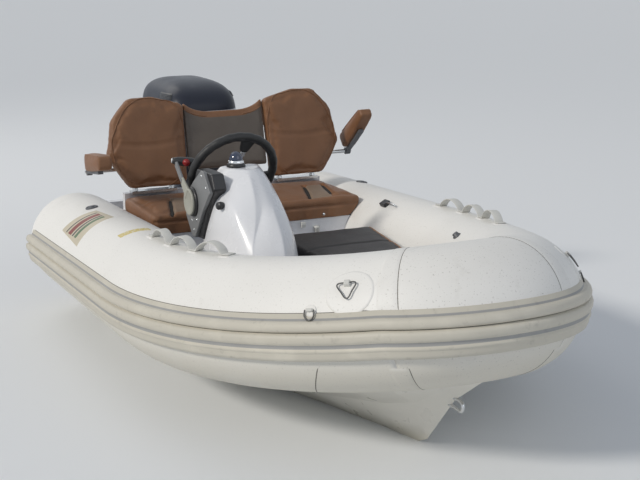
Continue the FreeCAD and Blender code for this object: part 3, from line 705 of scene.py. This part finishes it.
def decal():
    """Plain slanted colour bands on the side, and a worn strip by the first strap."""
    skin_patch("side_panel", ((1.953, 31), (2.240, 37)), ((1.963, 85), (2.170, 80)), "decal_beige",
               0.0009, 40, 30)
    for name, start, wide, key in (("a", 0.20, 0.13, "decal_green"), ("b", 0.38, 0.07, "decal_dark"),
                                   ("c", 0.50, 0.20, "decal_red"), ("d", 0.76, 0.05, "decal_dark")):
        low, high = (((s + long * (start + shift), angle), (s + long * (start + shift + wide), angle))
                     for s, long, shift, angle in ((1.965, 0.26, 0, 37), (1.968, 0.20, -0.04, 78)))
        skin_patch("side_band_" + name, low, high, key, 0.0015, 10, 30)
    skin_patch("worn_strip", ((1.628, 64), (1.678, 64)), ((1.614, 97), (1.664, 97)), "worn_yellow",
               0.0008, 10, 30)


# Upholstery

def lean_back(x, y, h):
    """Point of a backrest drawn upright over its foot, turned back to its lean."""
    a = math.radians(12)
    dx = x - 0.450
    return Vector((0.450 + dx * math.cos(a) - h * math.sin(a), y, 0.596 + dx * math.sin(a) + h * math.cos(a)))


def soft_copy(node, material, voxel, rounding, shape):
    """Fabric body of a padded piece: the solid's form, remeshed evenly, rounded and reshaped."""
    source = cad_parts[node]
    mesh = source.data.copy()
    mesh.transform(source.matrix_world)
    mesh.materials.clear()
    obj = put_in(node + "_cover", mesh)
    modifier(obj, "REMESH", mode="VOXEL", voxel_size=voxel)
    modifier(obj, "SMOOTH", factor=0.5, iterations=rounding)
    settle(obj)
    obj.data.materials.clear()
    obj.data.materials.append(MATS[material])
    if shape:
        put_back(obj, [shape(co) for co in places(obj)[0]])
    return obj


def places(obj):
    """Places and normals of a mesh's points."""
    return ([v.co.copy() for v in obj.data.vertices], [v.normal.copy() for v in obj.data.vertices])


def put_back(obj, points):
    obj.data.vertices.foreach_set("co", [c for p in points for c in p])
    obj.data.update()


def fill_out(pieces):
    """Swells the covers as their foam does, and keeps the sides that rest on something flat."""
    scene = bpy.context.scene
    frames = 20
    for obj, _, _ in pieces:
        cloth = modifier(obj, "CLOTH")
        assign(cloth.settings, quality=4, use_pressure=True, uniform_pressure_force=4)
        assign(cloth.settings.effector_weights, gravity=0)
        assign(cloth.collision_settings, use_collision=False, use_self_collision=False)
        assign(cloth.point_cache, frame_start=1, frame_end=frames)
    for step in range(1, frames + 1):
        scene.frame_set(step)
    graph = bpy.context.evaluated_depsgraph_get()
    for obj, cap, rests in pieces:
        filled = bpy.data.meshes.new_from_object(obj.evaluated_get(graph))
        points, normals = places(obj)
        ends = [v.co.copy() for v in filled.vertices]
        for k, (start, end, normal) in enumerate(zip(points, ends, normals)):
            if normal.dot(Vector(rests)) > 0.5:
                continue
            shift = end - start
            if shift.length > cap:
                shift = shift.normalized() * cap
            inward = min(0.0, shift.dot(normal))
            points[k] = start + (shift - normal * (inward * 0.8))
        put_back(obj, points)
        obj.modifiers.clear()
    scene.frame_set(1)
    for obj, _, _ in pieces:
        smoother(obj, 1)


def crumple(obj, amount, scale, where, stretch=(1, 1, 1)):
    """Small uneven folds in a cover, as deep as a function of place and normal tells."""
    points, normals = places(obj)
    for k, (point, normal) in enumerate(zip(points, normals)):
        share = where(normal)
        if share > 0:
            at = Vector([c * scale * q for c, q in zip(point, stretch)])
            points[k] = point + normal * (amount * share * noise.noise(at))
    put_back(obj, points)


def recolour(obj, material, inside):
    """Gives the faces whose centre lies inside a test another cover material."""
    obj.data.materials.append(MATS[material])
    for polygon in obj.data.polygons:
        if inside(polygon.center, polygon.normal):
            polygon.material_index = len(obj.data.materials) - 1


def welt(name, obj, points, radius, material, closed=False, **options):
    """Piping sewn into a cover's edge, laid on its surface."""
    line, normals = laid_on(obj, points, radius * 0.35)
    line = [sum((beside(line, i + k, closed) for k in (-1, 0, 1)), Vector()) / 3 for i in range(len(line))]
    pipe(name, line, radius, material, 8, closed=closed, up=normals, **options)


def between(a, b, count):
    return [lerp(Vector(a), Vector(b), t) for t in shares(count)]


BACK_OUTLINE = [(0.200, 0), (0.455, 0), (0.545, 0.144), (0.502, 0.288), (0.425, 0.378),
                (0.340, 0.390), (0.188, 0.352)]
SEAT_SLITS = {1: [((0.593, 0.314), (0.809, 0.244)), ((0.587, 0.407), (0.790, 0.354))],
              -1: [((0.619, -0.328), (0.836, -0.391)), ((0.600, -0.244), (0.812, -0.297))]}
ARM_PIVOT = Vector((0.418, 0, 0.682))
ARM_RISE = {1: 38, -1: 7.5}  # degrees, by the sign of y


def on_arm(side, along, high, y):
    """Point of an armrest from its length and height over the pivot."""
    a = math.radians(ARM_RISE[side])
    return Vector((ARM_PIVOT.x + (along * math.cos(a) - high * math.sin(a)), y,
                   ARM_PIVOT.z + (along * math.sin(a) + high * math.cos(a))))


def arm_shape(side):
    """Tapers an armrest towards its free end and rounds its upper side."""
    a = math.radians(ARM_RISE[side])

    def shape(co):
        rel = co - ARM_PIVOT
        along = rel.x * math.cos(a) + rel.z * math.sin(a)
        high = -rel.x * math.sin(a) + rel.z * math.cos(a)
        if side > 0:
            along = 0.275 - (0.275 - along) * 1.13
        t = clamp((along - 0.05) / 0.22)
        middle = 0.046 + 0.006 * t
        high = middle + (high - middle) * (1.08 - (0.46 if side > 0 else 0.20) * t * t)
        return on_arm(side, along, high, co.y)

    return shape


def wider(co):
    """Fills out a backrest's outer upper corner."""
    side = math.copysign(1.0, co.y)
    out, up = clamp((abs(co.y) - 0.36) / 0.18), clamp((co.z - 0.79) / 0.2)
    corner = out * up
    return co + Vector((0, side * (0.008 * out + 0.030 * corner), 0.006 * up + 0.024 * corner))


def panel_rise(y):
    """How far the fabric panel's top sweeps up towards the backrests."""
    return 0.040 * max(0.0, (abs(y) - 0.05) / 0.137) ** 2.6


def raised(co):
    return co + Vector((-0.2, 0, 1)) * (panel_rise(co.y) * clamp((co.z - 0.80) / 0.10))


def upholstery():
    """Covers of the seats, backrests, armrests and bow seats."""
    down, aft = (0, 0, -1), (-1, 0, -0.2)
    jobs = []
    for name in ("starboard", "port"):
        jobs += [("seat_cushion_" + name, "brown", 0.008, 13, 0.014, down, None, "boat"),
                 ("backrest_" + name, "brown", 0.008, 15, 0.012, aft, wider, "boat")]
    jobs += [("armrest_pad_starboard", "brown", 0.006, 9, 0.006, down, arm_shape(-1), "armrest_starboard"),
             ("armrest_pad_port", "brown", 0.006, 9, 0.006, down, arm_shape(1), "armrest_port"),
             # The bow and side cushions take the brown vinyl painted near black: painted shade.
             ("bow_cushion", "brown_painted_shade", 0.008, 3, 0.009, down, None, LID),
             ("side_cushion", "brown_painted_shade", 0.008, 3, 0.008, down, None, "boat"),
             ("back_panel", "taupe", 0.006, 2, 0.005, aft, raised, "boat")]
    covers, swelling = {}, []
    for node, key, voxel, rounding, cap, rests, shape, _ in jobs:
        covers[node] = soft_copy(node, key, voxel, rounding, shape)
        swelling.append((covers[node], cap, rests))
    fill_out(swelling)
    for node, *_, body in jobs:
        obj, panel = covers[node], node == "back_panel"
        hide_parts(node)
        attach(obj, body)
    for side, name in BY_BREADTH:
        dress_seat(covers["seat_cushion_" + name], side, name)
        dress_back(covers["backrest_" + name], side, name)
        dress_arm(covers["armrest_pad_" + name], side, name)
    dress_panel(covers["back_panel"])
    dress_bow(covers["bow_cushion"], covers["side_cushion"])


SEAT_FRONT, SEAT_FRONT_TOP, SEAT_TOP = 0.846, 0.524, 0.575  # x, z and z


def facing_up(normal):
    return max(0.0, normal.z)


def dress_seat(obj, side, name):
    """Front seam, and a hold-down band between two slits, which are laid in as near-black strips of painted
    shade.
    """
    low, high = sorted((side * 0.010, side * 0.476))
    slits = SEAT_SLITS[side]
    crumple(obj, 0.0075, 15, lambda n: max(0.0, n.x) * 0.9, (1, 1.5, 0.6))
    crumple(obj, 0.0045, 9, facing_up)
    furrow(obj, between(*((SEAT_FRONT, y, SEAT_FRONT_TOP) for y in (low, high)), 30), 0.010, 0.006)
    for a, b in slits:
        furrow(obj, between((*a, SEAT_TOP), (*b, SEAT_TOP), 16), 0.016, 0.012)

    def on_band(co, normal):
        ends = [lerp(a[1], b[1], (co.x - a[0]) / (b[0] - a[0])) for a, b in slits]
        return normal.z >= 0.3 and 0.60 < co.x < 0.815 and min(ends) < co.y < max(ends)

    recolour(obj, "band", on_band)
    tree = tree_of(obj)
    over = SEAT_TOP + 0.045
    for k, (a, b) in enumerate(slits):
        line = [tree.ray_cast(p, -Z)[0] for p in between((*a, over), (*b, over), 16)]
        for _ in range(3):
            middle = [(u + 2 * v + w) / 4 for u, v, w in zip(line, line[1:], line[2:])]
            line = [line[0], *middle, line[-1]]
        sizes = [0.35 + 0.65 * math.sin(math.pi * t) ** 0.5 for t in shares(len(line) - 1)]
        # Painted shade: each slit is a near-black strip laid in its furrow.
        sweep("seat_slit_%s_%d" % (name, k), [p + Z * 0.002 for p in line], oblong(0.0095, 0.0040, 0.0035),
              "slit", scales=sizes)


def dress_back(obj, side, name):
    """Piping round the front edge and a shallow crease."""
    crumple(obj, 0.0025, 13, lambda n: max(0.0, n.x))
    crease = [lean_back(0.525, side * y, 0.190 + 0.010 * math.sin(y * 13))
              for y in (0.215 + 0.295 * t for t in shares(20))]
    furrow(obj, crease, 0.020, 0.0022)
    corners = []
    for i, corner in enumerate(BACK_OUTLINE):
        corners += [mixed(corner, beside(BACK_OUTLINE, i + k, True), 0.33) for k in (-1, 1)]
    loop = curve_through([lean_back(0.507, side * y, h) for y, h in corners], 7, True)
    welt("backrest_welt_" + name, obj, loop, 0.0026, "brown", True)


def dress_arm(obj, side, name):
    """Piping along both upper edges of an armrest."""
    for k, y in enumerate((0.592, 0.648)):
        points = []
        for along in (0.050 + 0.215 * t for t in shares(24)):
            drop = (0.012 if side > 0 else 0.004) * max(0.0, (along - 0.05) / 0.22)
            points.append(on_arm(side, along, 0.080 - drop, side * y))
        welt("armrest_welt_%s_%d" % (name, k), obj, points, 0.0024, "brown_edge",
             body="armrest_" + name)


def dress_panel(obj):
    """Brown band along the fabric panel's top."""
    recolour(obj, "brown", lambda co, n: co.z > 0.884 + panel_rise(co.y))
    breadths = [-0.180 + 0.360 * t for t in shares(40)]
    welt("panel_seam", obj, [(0.42, y, 0.885 + panel_rise(y)) for y in breadths], 0.0022,
         "brown_edge")


def dress_bow(bow, side):
    """Piping round the upper edge of the bow and side seats, and a sewn line across each."""
    for obj in (bow, side):
        crumple(obj, 0.0022, 12, facing_up)
    furrow(side, between((1.410, -0.05, 0.505), (1.410, 0.345, 0.505), 24), 0.014, 0.005)
    furrow(bow, between((1.870, -0.40, 0.50), (1.870, 0.40, 0.50), 40), 0.014, 0.005)
    edge_z = 0.492
    edge = [(x, y, edge_z) for x, y in ((1.690, -0.158), (1.690, 0.270), (1.505, 0.306), (1.145, 0.360))]
    points = [p for a, b in zip(edge, edge[1:]) for p in between(a, b, 18)[:-1]] + [Vector(edge[-1])]
    welt("side_cushion_welt", side, points, 0.0036, "brown_edge")
    rim = between((1.712, -0.325, edge_z), (1.712, 0.325, edge_z), 50)
    welt("bow_cushion_welt", bow, rim, 0.0036, "brown_edge", body=LID)


# Console, wheel and controls

CONSOLE_RINGS = [
    # height and outline in millimetres, from the aft port corner forward round to starboard
    (178, [(1150, -68), (1450, -92), (1560, -135), (1604, -213), (1600, -275), (1586, -330),
           (1584, -333), (1550, -358), (1500, -376), (1320, -404), (1150, -380)]),
    (430, [(1150, -68), (1450, -92), (1560, -135), (1608, -213), (1602, -275), (1586, -332),
           (1584, -335), (1550, -358), (1500, -376), (1320, -404), (1150, -380)]),
    (560, [(1150, -76), (1412, -98), (1518, -140), (1577, -213), (1562, -270), (1533, -321),
           (1531, -325), (1508, -345), (1472, -356), (1310, -390), (1150, -378)]),
    (610, [(1150, -84), (1385, -108), (1472, -140), (1536, -210), (1529, -255), (1503, -292),
           (1505, -301), (1485, -332), (1455, -354), (1300, -388), (1150, -368)]),
    (655, [(1150, -92), (1355, -116), (1430, -145), (1494, -212), (1492, -238), (1472, -262),
           (1475, -285), (1455, -325), (1432, -352), (1290, -384), (1150, -358)]),
    (690, [(1150, -98), (1325, -122), (1392, -152), (1442, -205), (1446, -225), (1444, -243),
           (1447, -273), (1428, -318), (1398, -350), (1280, -377), (1150, -350)]),
    (725, [(1150, -106), (1290, -130), (1355, -160), (1396, -205), (1402, -224), (1406, -243),
           (1415, -264), (1380, -315), (1315, -345), (1245, -362), (1150, -340)]),
    (768, [(1150, -122), (1220, -138), (1285, -160), (1325, -195), (1335, -212), (1342, -230),
           (1352, -250), (1300, -300), (1235, -328), (1195, -335), (1150, -325)]),
    (794, [(1150, -140), (1195, -150), (1245, -170), (1285, -200), (1292, -215), (1297, -228),
           (1300, -242), (1255, -285), (1205, -306), (1178, -312), (1150, -306)])]
CREASES = {0: 0.6, 3: 0.85, 5: 0.80, 6: 0.65, 8: 0.30, 10: 0.6}  # by column of the rings
FACET_TOP = 700  # the creases of columns 3 and 5 end below this height


def build_pod():
    """Console pod: a smooth shell with a ridge down its starboard bow and a raised facet."""
    verts = [Vector((x, y, z)) / 1000 for z, ring in CONSOLE_RINGS for x, y in ring]
    for share in (0.90, 0.55):
        verts += [Vector((lerp(1205, x, share), lerp(-235, y, share), 800)) / 1000
                  for x, y in CONSOLE_RINGS[-1][1]]
    cols = len(CONSOLE_RINGS[0][1])
    obj = new_mesh("console_pod", verts, capped_faces(len(verts) // cols, cols), "gelcoat",
                   slot="gelcoat", node="console")
    crease = obj.data.attributes.new("crease_edge", "FLOAT", "EDGE")
    for edge, value in zip(obj.data.edges, crease.data):
        (row, column), (above, other) = sorted(divmod(k, cols) for k in edge.vertices)
        if above == 0:
            value.value = 1.0
        elif column == other and above < len(CONSOLE_RINGS):
            if column not in (3, 5) or CONSOLE_RINGS[above][0] <= FACET_TOP:
                value.value = CREASES.get(column, 0.0)
    smoother(obj, 3)


def build_steering():
    """Padded rim, three flat spokes in dark pads and the hub cap."""
    centre = Vector((1.068, -0.212, 0.752))
    lean = math.radians(27)
    ahead = Vector((math.cos(lean), 0, -math.sin(lean)))
    side = Vector((0, 1, 0))
    up = Vector((math.sin(lean), 0, math.cos(lean)))
    dark = {"body": WHEEL, "slot": "black_plastic"}

    def at(radius, degrees, forward=0.0, across=0.0):
        a = math.radians(degrees)
        out = side * math.cos(a) + up * math.sin(a)
        return centre + out * radius + ahead * forward + ahead.cross(out) * across

    def bar(name, rows, section, angle, material, smooth):
        verts = [at(radius, angle, forward, half * across)
                 for radius, half in rows for across, forward in section]
        return new_mesh(name, verts, capped_faces(len(rows), len(section)), material, smooth=smooth, **dark)

    steps, around = 144, 18
    verts = []
    for angle in (360 * i / steps for i in range(steps)):
        grip = 0.0172 + 0.0008 * math.cos(math.radians(angle * 24))
        out = (at(1, angle) - centre).normalized()
        verts += [at(0.170, angle) + out * (grip * math.cos(b)) + ahead * (grip * math.sin(b))
                  for b in turns(around)]
    new_mesh("wheel_rim", verts, grid_faces(steps, around, True, True), "rim", node="steering_wheel",
             **dark)
    for k, angle in enumerate((75, 255, 345)):
        pad = bar("wheel_pad_%d" % k,
                  [(0.100, 0.013), (0.112, 0.021), (0.132, 0.025), (0.150, 0.031), (0.166, 0.046)],
                  [(-1, -0.004), (-0.7, -0.0095), (0.7, -0.0095), (1, -0.004),
                   (1, 0.004), (0.7, 0.0095), (-0.7, 0.0095), (-1, 0.004)], angle, "rim", True)
        smoother(pad, 2)
        arm = bar("wheel_spoke_%d" % k, [(0.022, 0.016), (0.060, 0.0105), (0.112, 0.0095), (0.125, 0.0095)],
                  [(-1, 0.0012), (1, 0.0012), (1, 0.0068), (-1, 0.0068)], angle, "steel", False)
        soften(arm, 0.0012, 2)
        lathe("spoke_screw_%d" % k, [(0.1, -3), (3.5, -2.5), (5, 0), (5, 3)], at(0.118, angle, -0.004),
              ahead, "steel", 16, body=WHEEL)
    lathe("wheel_hub", [(0.4, -20), (16, -19), (26, -14), (31, -4), (31, 12), (29, 34), (10, 36), (9.6, 60)],
          centre, ahead, "rim", **dark)
    lathe("helm_cover", [(10, 46), (40, 47), (50, 52), (53, 60), (53, 66), (42, 72), (41, 150), (4, 186)],
          centre, ahead, "black", slot="black_plastic", node="helm")


def build_dials():
    """Compass: dark foot, bright ring and a tinted dome over its card."""
    at = Vector((1.205, -0.252, 0.800))
    lathe("compass_foot", [(0.5, 0.6), (36, 0.6), (37.2, 3), (34.5, 10), (31.5, 14), (0.5, 14)], at, Z,
          "black", slot="black_plastic", node="compass_base")
    lathe("compass_ring", [(20, 13.5), (31.2, 13.5), (32.2, 17), (31.2, 22.5), (28.5, 25.8), (20, 26)],
          at, Z, "chrome", slot="stainless")
    dome = [(27.5 * math.cos(math.radians(a)), 25.5 + 33.5 * math.sin(math.radians(a)))
            for a in range(0, 88, 8)] + [(0.4, 59)]
    lathe("compass_cap", dome, at, Z, "glass", slot="compass_glass", node="compass_dome")


def plate_prism(name, outline, y0, y1, material, width, **options):
    """Flat piece from a side view outline in millimetres, between two breadths."""
    verts = [Vector((x / 1000, y, z / 1000)) for y in (y0, y1) for x, z in outline]
    obj = new_mesh(name, verts, capped_faces(2, len(outline)), material, smooth=False, **options)
    soften(obj, width, 3, 20)


def build_controls():
    """Side-mount control: cover plate, dark case, hub disc, lever and its grip."""
    plate_prism("control_case", [(1140, 792), (1230, 796), (1300, 796), (1330, 740), (1300, 708),
                                 (1275, 676), (1192, 524), (1120, 518), (1080, 560), (1060, 660)],
                -0.390, -0.338, "black", 0.008, slot="grey_fitting", node="control_box")
    plate_prism("control_cover", [(1225, 800), (1252, 798), (1318, 728), (1232, 640), (1142, 523),
                                  (1112, 521), (1042, 596), (1066, 690), (1142, 748)],
                -0.404, -0.388, "control_grey", 0.004, slot="grey_fitting")
    hub = Vector((1.134, -0.402, 0.664))
    side = Vector((0, -1, 0))
    lathe("control_collar", [(30, 0), (57, 0), (58, 5), (56, 12), (30, 13)], hub, side, "black",
          slot="grey_fitting")
    lathe("lever_hub", [(20, 13), (49, 12.5), (52, 16), (52, 21), (50, 23.8), (46, 24.5), (43, 22.5),
                        (0.4, 22.2)], hub, side, "control_light", 64, slot="black_plastic",
          node="throttle_lever")
    for k, (x, z) in enumerate(((1116, 587), (1174, 600), (1136, 553), (1236, 780), (1280, 742))):
        lathe("control_screw_%d" % k, [(0.4, 3.5), (4, 3), (5.2, 0), (5.2, -2)],
              (x / 1000, -0.404, z / 1000), side, "steel", 16)
    low, knee, tip = (Vector(p) for p in ((1.118, -0.419, 0.690), (1.052, -0.418, 0.735),
                                          (0.962, -0.412, 0.790)))
    sweep("lever_foot", curve_through([low, (low + knee) / 2, knee], 6), oblong(0.017, 0.005, 0.004),
          "control_light", up=-side, scales=[1.5 - 0.6 * t for t in shares(12)],
          slot="black_plastic")
    sweep("lever_bar", [lerp(knee, tip, t - 0.08) for t in shares(10)], oblong(0.0125, 0.0055, 0.004),
          "control_grey", up=-side, slot="black_plastic")
    start = Vector((0.938, -0.420, 0.795))
    along = Vector((0.03, 0.088, -0.010)).normalized()
    lathe("lever_grip", [(0.4, 0), (10, 0.5), (12.5, 4), (13.5, 12), (16.5, 20), (18, 40), (18, 72),
                         (16.5, 86), (10, 92), (0.4, 93)], start, along, "black",
          slot="black_plastic")
    lathe("grip_end", [(0.4, -3.5), (8, -3), (10.5, 0), (10.5, 3)], start, along, "steel", 24)
    lathe("grip_switch", [(0.4, 0), (12.5, 0.5), (14.5, 3), (14.5, 6)],
          start + along * 0.058 + Vector((0.0155, -0.006, 0.0)), (0.9, -0.4, 0.15), "switch_red", 24)
    lathe("flank_knob", [(11, -20), (11, 10), (13.5, 12), (15, 18), (15, 30), (13.5, 34), (0.4, 35)],
          (1.338, -0.352, 0.683), (0.35, -0.93, 0.05), "black")


# Motor

COWL_RINGS = [
    # height, half length, half breadth, shift aft in millimetres
    (537, 196, 132, 20), (552, 226, 150, 16), (585, 256, 168, 10), (640, 272, 176, 5), (720, 280, 180, 1),
    (800, 281, 181, 0), (838, 281, 181, 0), (839.5, 277.5, 177.5, 0), (842, 277.5, 177.5, 0),
    (843.5, 281, 181, 0), (880, 279, 179, 1), (915, 272, 175, 5), (944, 255, 165, 10), (966, 230, 149, 16),
    (984, 193, 126, 22), (996, 146, 97, 28), (1002, 92, 62, 32), (1004, 42, 28, 34)]
COWL_SPLIT = 8  # rings of the lower half
COWL_MIDDLE = (-120, 25)
COWL_POWER = 2 / 4.2  # squareness of its plan


def cowl_point(height, half_x, half_y, aft, angle, out=0.0):
    a = math.radians(angle)
    x, y = (math.copysign(abs(c) ** COWL_POWER, c) * half
            for c, half in ((math.cos(a), half_x), (math.sin(a), half_y)))
    away = Vector((x / half_x ** 1.2, y / half_y ** 1.2, 0)).normalized() * out * 1000
    return (Vector((COWL_MIDDLE[0] - aft + x, COWL_MIDDLE[1] + y, height)) + away) / 1000


def cowl_at(z):
    """Ring sizes at a height, read between the listed ones."""
    for low, high in zip(COWL_RINGS, COWL_RINGS[1:]):
        if low[0] <= z <= high[0]:
            return mixed(low, high, (z - low[0]) / (high[0] - low[0]))


def build_motor():
    """Smooth cowl with a parting groove, a bright band and an air inlet on each side."""
    around = 96
    for node, some, key in (("cowl_lower", COWL_RINGS[:COWL_SPLIT], "cowl_low"),
                            ("cowl_upper", COWL_RINGS[COWL_SPLIT:], "cowl")):
        verts = [cowl_point(*ring, 360 * k / around) for ring in some for k in range(around)]
        obj = new_mesh(node + "_skin", verts, capped_faces(len(some), around), key, STEERED,
                       slot="cowl_paint", node=node)
        modifier(obj, "SUBSURF", levels=1, render_levels=1)
        soften(obj, 0.002, 2, 50)
    for name, low, high, first, last, key, out in (
            ("cowl_band", 852, 874, -170, 170, "silver", 0.0012),
            ("cowl_inlet_frame", 924, 952, -84, -52, "black", 0.0022),
            ("cowl_inlet_frame_port", 924, 952, 52, 84, "black", 0.0022)):
        patch(name, lambda u, v, lift: cowl_point(*cowl_at(lerp(low, high, u)), lerp(first, last, v), lift),
              6, 89, out, -0.001, key, body=STEERED, slot="cowl_paint")
    for k in range(4):
        ring = cowl_at(929 + 6 * k)
        for side, name in reversed(BY_BREADTH):
            line = [cowl_point(*ring, side * (54 + 28 * t), 0.0035) for t in shares(10)]
            pipe("cowl_slat_%s_%d" % (name, k), line, 0.0012, "motor", 6, body=STEERED)


# Small fittings

def build_small():
    """Studs, clip and post on the seat front, bracket and fitting on the port tube."""
    for side, name in BY_BREADTH:
        lathe("seat_stud_" + name, [(0.4, 5.5), (4, 5), (6.2, 2), (6.2, -4)],
              (0.8405, side * 0.294, 0.490), (1, 0, 0), "steel", 24)
    plate_prism("seat_clip", [(838, 440), (846, 440), (848, 452), (846, 464), (838, 464)], 0.186, 0.206,
                "white_plastic", 0.002)
    lathe("seat_post", [(10, -60), (10, 30), (13, 32), (13, 40), (0.4, 42)], (0.842, 0.261, 0.400), Z,
          "white_plastic", 24)
    place = -s_at(1.022), 118
    spot, normal = on_tube(*place), normal_at(*place)
    ahead = spine(s_at(1.022))[1] * -1
    across = normal.cross(ahead).normalized()
    verts = [spot + ahead * (0.022 * u) + across * (0.017 * v) + normal * lift
             for lift in (-0.002, 0.016) for u, v in ((-1, -1), (1, -1), (1, 1), (-1, 1))]
    block = new_mesh("tube_bracket", verts, capped_faces(2, 4), "black", smooth=False)
    soften(block, 0.003)
    bar = [spot + ahead * (0.010 + 0.085 * t) + normal * (0.011 + 0.004 * math.sin(math.pi * t))
           for t in shares(8)]
    pipe("tube_bracket_bar", bar, 0.0042, "steel", 12, up=normal)
    place = -0.984, 129
    lathe("tube_fitting", [(17, -2), (17.5, 3), (13, 5), (12, 14), (0.4, 15)], on_tube(*place),
          normal_at(*place), "grey", 6)


def all_materials():
    return {
        "tube": tube_fabric("tube_fabric", (0.83, 0.82, 0.79), 0.6),
        "tube_bow": tube_fabric("tube_fabric_bow", (0.80, 0.79, 0.76), 1.0),
        "cream": moulded("strake_cream", (0.56, 0.53, 0.455), 0.55, wear=0.55),
        "strake_grey": moulded("strake_grey", (0.33, 0.33, 0.325), 0.55, wear=0.4),
        # Dark seams, and painted shade in the strake's groove and under its foot.
        "seam_and_painted_shadow": moulded("seam_and_painted_shadow", (0.16, 0.15, 0.13), 0.7),
        "gelcoat": gelcoat(),
        "hull": hull_gelcoat(),
        "brown": vinyl("brown_vinyl", (0.195, 0.088, 0.038), (0.255, 0.122, 0.056)),
        # Painted shade: the brown vinyl of the bow and side cushions, darkened to near black.
        "brown_painted_shade": vinyl("brown_vinyl_painted_shade", (0.011, 0.008, 0.008), (0.017, 0.013, 0.012), 0.0),
        "taupe": vinyl("taupe_vinyl", (0.112, 0.092, 0.076), (0.150, 0.126, 0.104)),
        "rim": moulded("rim_foam", (0.014, 0.014, 0.015), 0.5, 900, 0.0005),
        "chrome": steel("chrome", (0.75, 0.76, 0.78), 0.08),
        "control_grey": moulded("control_grey", (0.19, 0.195, 0.20), 0.42),
        "control_light": moulded("control_light", (0.36, 0.36, 0.31), 0.45),
        "switch_red": moulded("switch_red", (0.30, 0.012, 0.012)),
        "cowl_low": motor_paint("cowl_low_paint", (0.022, 0.025, 0.038), 0.36, 0.22),
        "band": vinyl("band_vinyl", (0.215, 0.150, 0.103), (0.270, 0.195, 0.138)),
        # Painted shade inside the seat slits.
        "slit": moulded("slit_painted_shade", (0.012, 0.010, 0.009), 0.8),
        "brown_edge": vinyl("brown_piping", (0.235, 0.115, 0.055), (0.29, 0.150, 0.075)),
        "steel": steel("stainless", (0.62, 0.63, 0.64), 0.22),
        "black": moulded("black_plastic", (0.018, 0.018, 0.020), 0.38, wear=0.3),
        "grey": moulded("grey_plastic", (0.10, 0.105, 0.115), 0.42),
        "white_plastic": moulded("white_plastic", (0.66, 0.66, 0.63), 0.45),
        "cowl": motor_paint("cowl_paint", (0.009, 0.012, 0.024), 0.40, 0.08),
        "silver": motor_paint("silver_paint", (0.42, 0.44, 0.47), 0.3),
        "motor": motor_paint("motor_paint", (0.035, 0.042, 0.060), 0.35, 0.3),
        "glass": glossy("compass_glass", (0.010, 0.022, 0.065)),
        "webbing": webbing("grab_webbing", (0.62, 0.62, 0.59)),
        "thread": moulded("thread", (0.50, 0.49, 0.46), 0.7),
        "wire": moulded("ring_wire", (0.085, 0.085, 0.082), 0.35),
        "decal_beige": moulded("decal_beige", (0.56, 0.50, 0.38), 0.45, wear=0.5),
        "decal_green": moulded("decal_green", (0.10, 0.17, 0.09), 0.45, wear=0.5),
        "decal_red": moulded("decal_red", (0.22, 0.045, 0.035), 0.45, wear=0.5),
        "decal_dark": moulded("decal_dark", (0.045, 0.05, 0.055), 0.45, wear=0.5),
        "worn_yellow": worn_print("worn_yellow", (0.62, 0.50, 0.17), (0.83, 0.82, 0.79)),
    }


# Materials of the model's nodes, and the nodes whose edges are rounded; a star stands for both sides
PLAIN = {
    "hull": "hull", "gelcoat": "deck transom bench console bow_moulding locker_lid",
    "brown": "seat_cushion_* backrest_* armrest_pad_*", "taupe": "back_panel",
    # The bow and side cushions take the painted-shade brown.
    "brown_painted_shade": "bow_cushion side_cushion", "steel": "back_frame_* armrest_post_* tow_eye",
    "grey": "armrest_bracket_* control_box valve_* powerhead",
    "black": "helm steering_wheel throttle_lever compass_base", "glass": "compass_dome",
    "white_plastic": "grab_strap_* lifting_ring_* side_ring_*",
    "motor": "clamp_bracket swivel_bracket motor_leg gearcase propeller", "cowl": "cowl_lower cowl_upper"}
ROUNDED = {0.004: "bench deck transom bow_moulding locker_lid clamp_bracket swivel_bracket motor_leg "
                  "gearcase armrest_bracket_*",
           0.001: "propeller"}


def model_nodes(names):
    for name in names.split():
        for side in ("starboard", "port") if "*" in name else ("",):
            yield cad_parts[name.replace("*", side)]


def main():
    look()
    light()
    floor()
    for key, names in PLAIN.items():
        for obj in model_nodes(names):
            obj.data.materials.clear()
            obj.data.materials.append(MATS[key])
    for build in (upholstery, build_pod, build_steering, build_dials, build_controls, build_motor,
                  build_small):
        build()
    for width, names in ROUNDED.items():
        for obj in model_nodes(names):
            soften(obj, width, 3, 40)
    for build in (build_collar, grab_straps, rings, decal):
        build()


MATS = all_materials()
main()
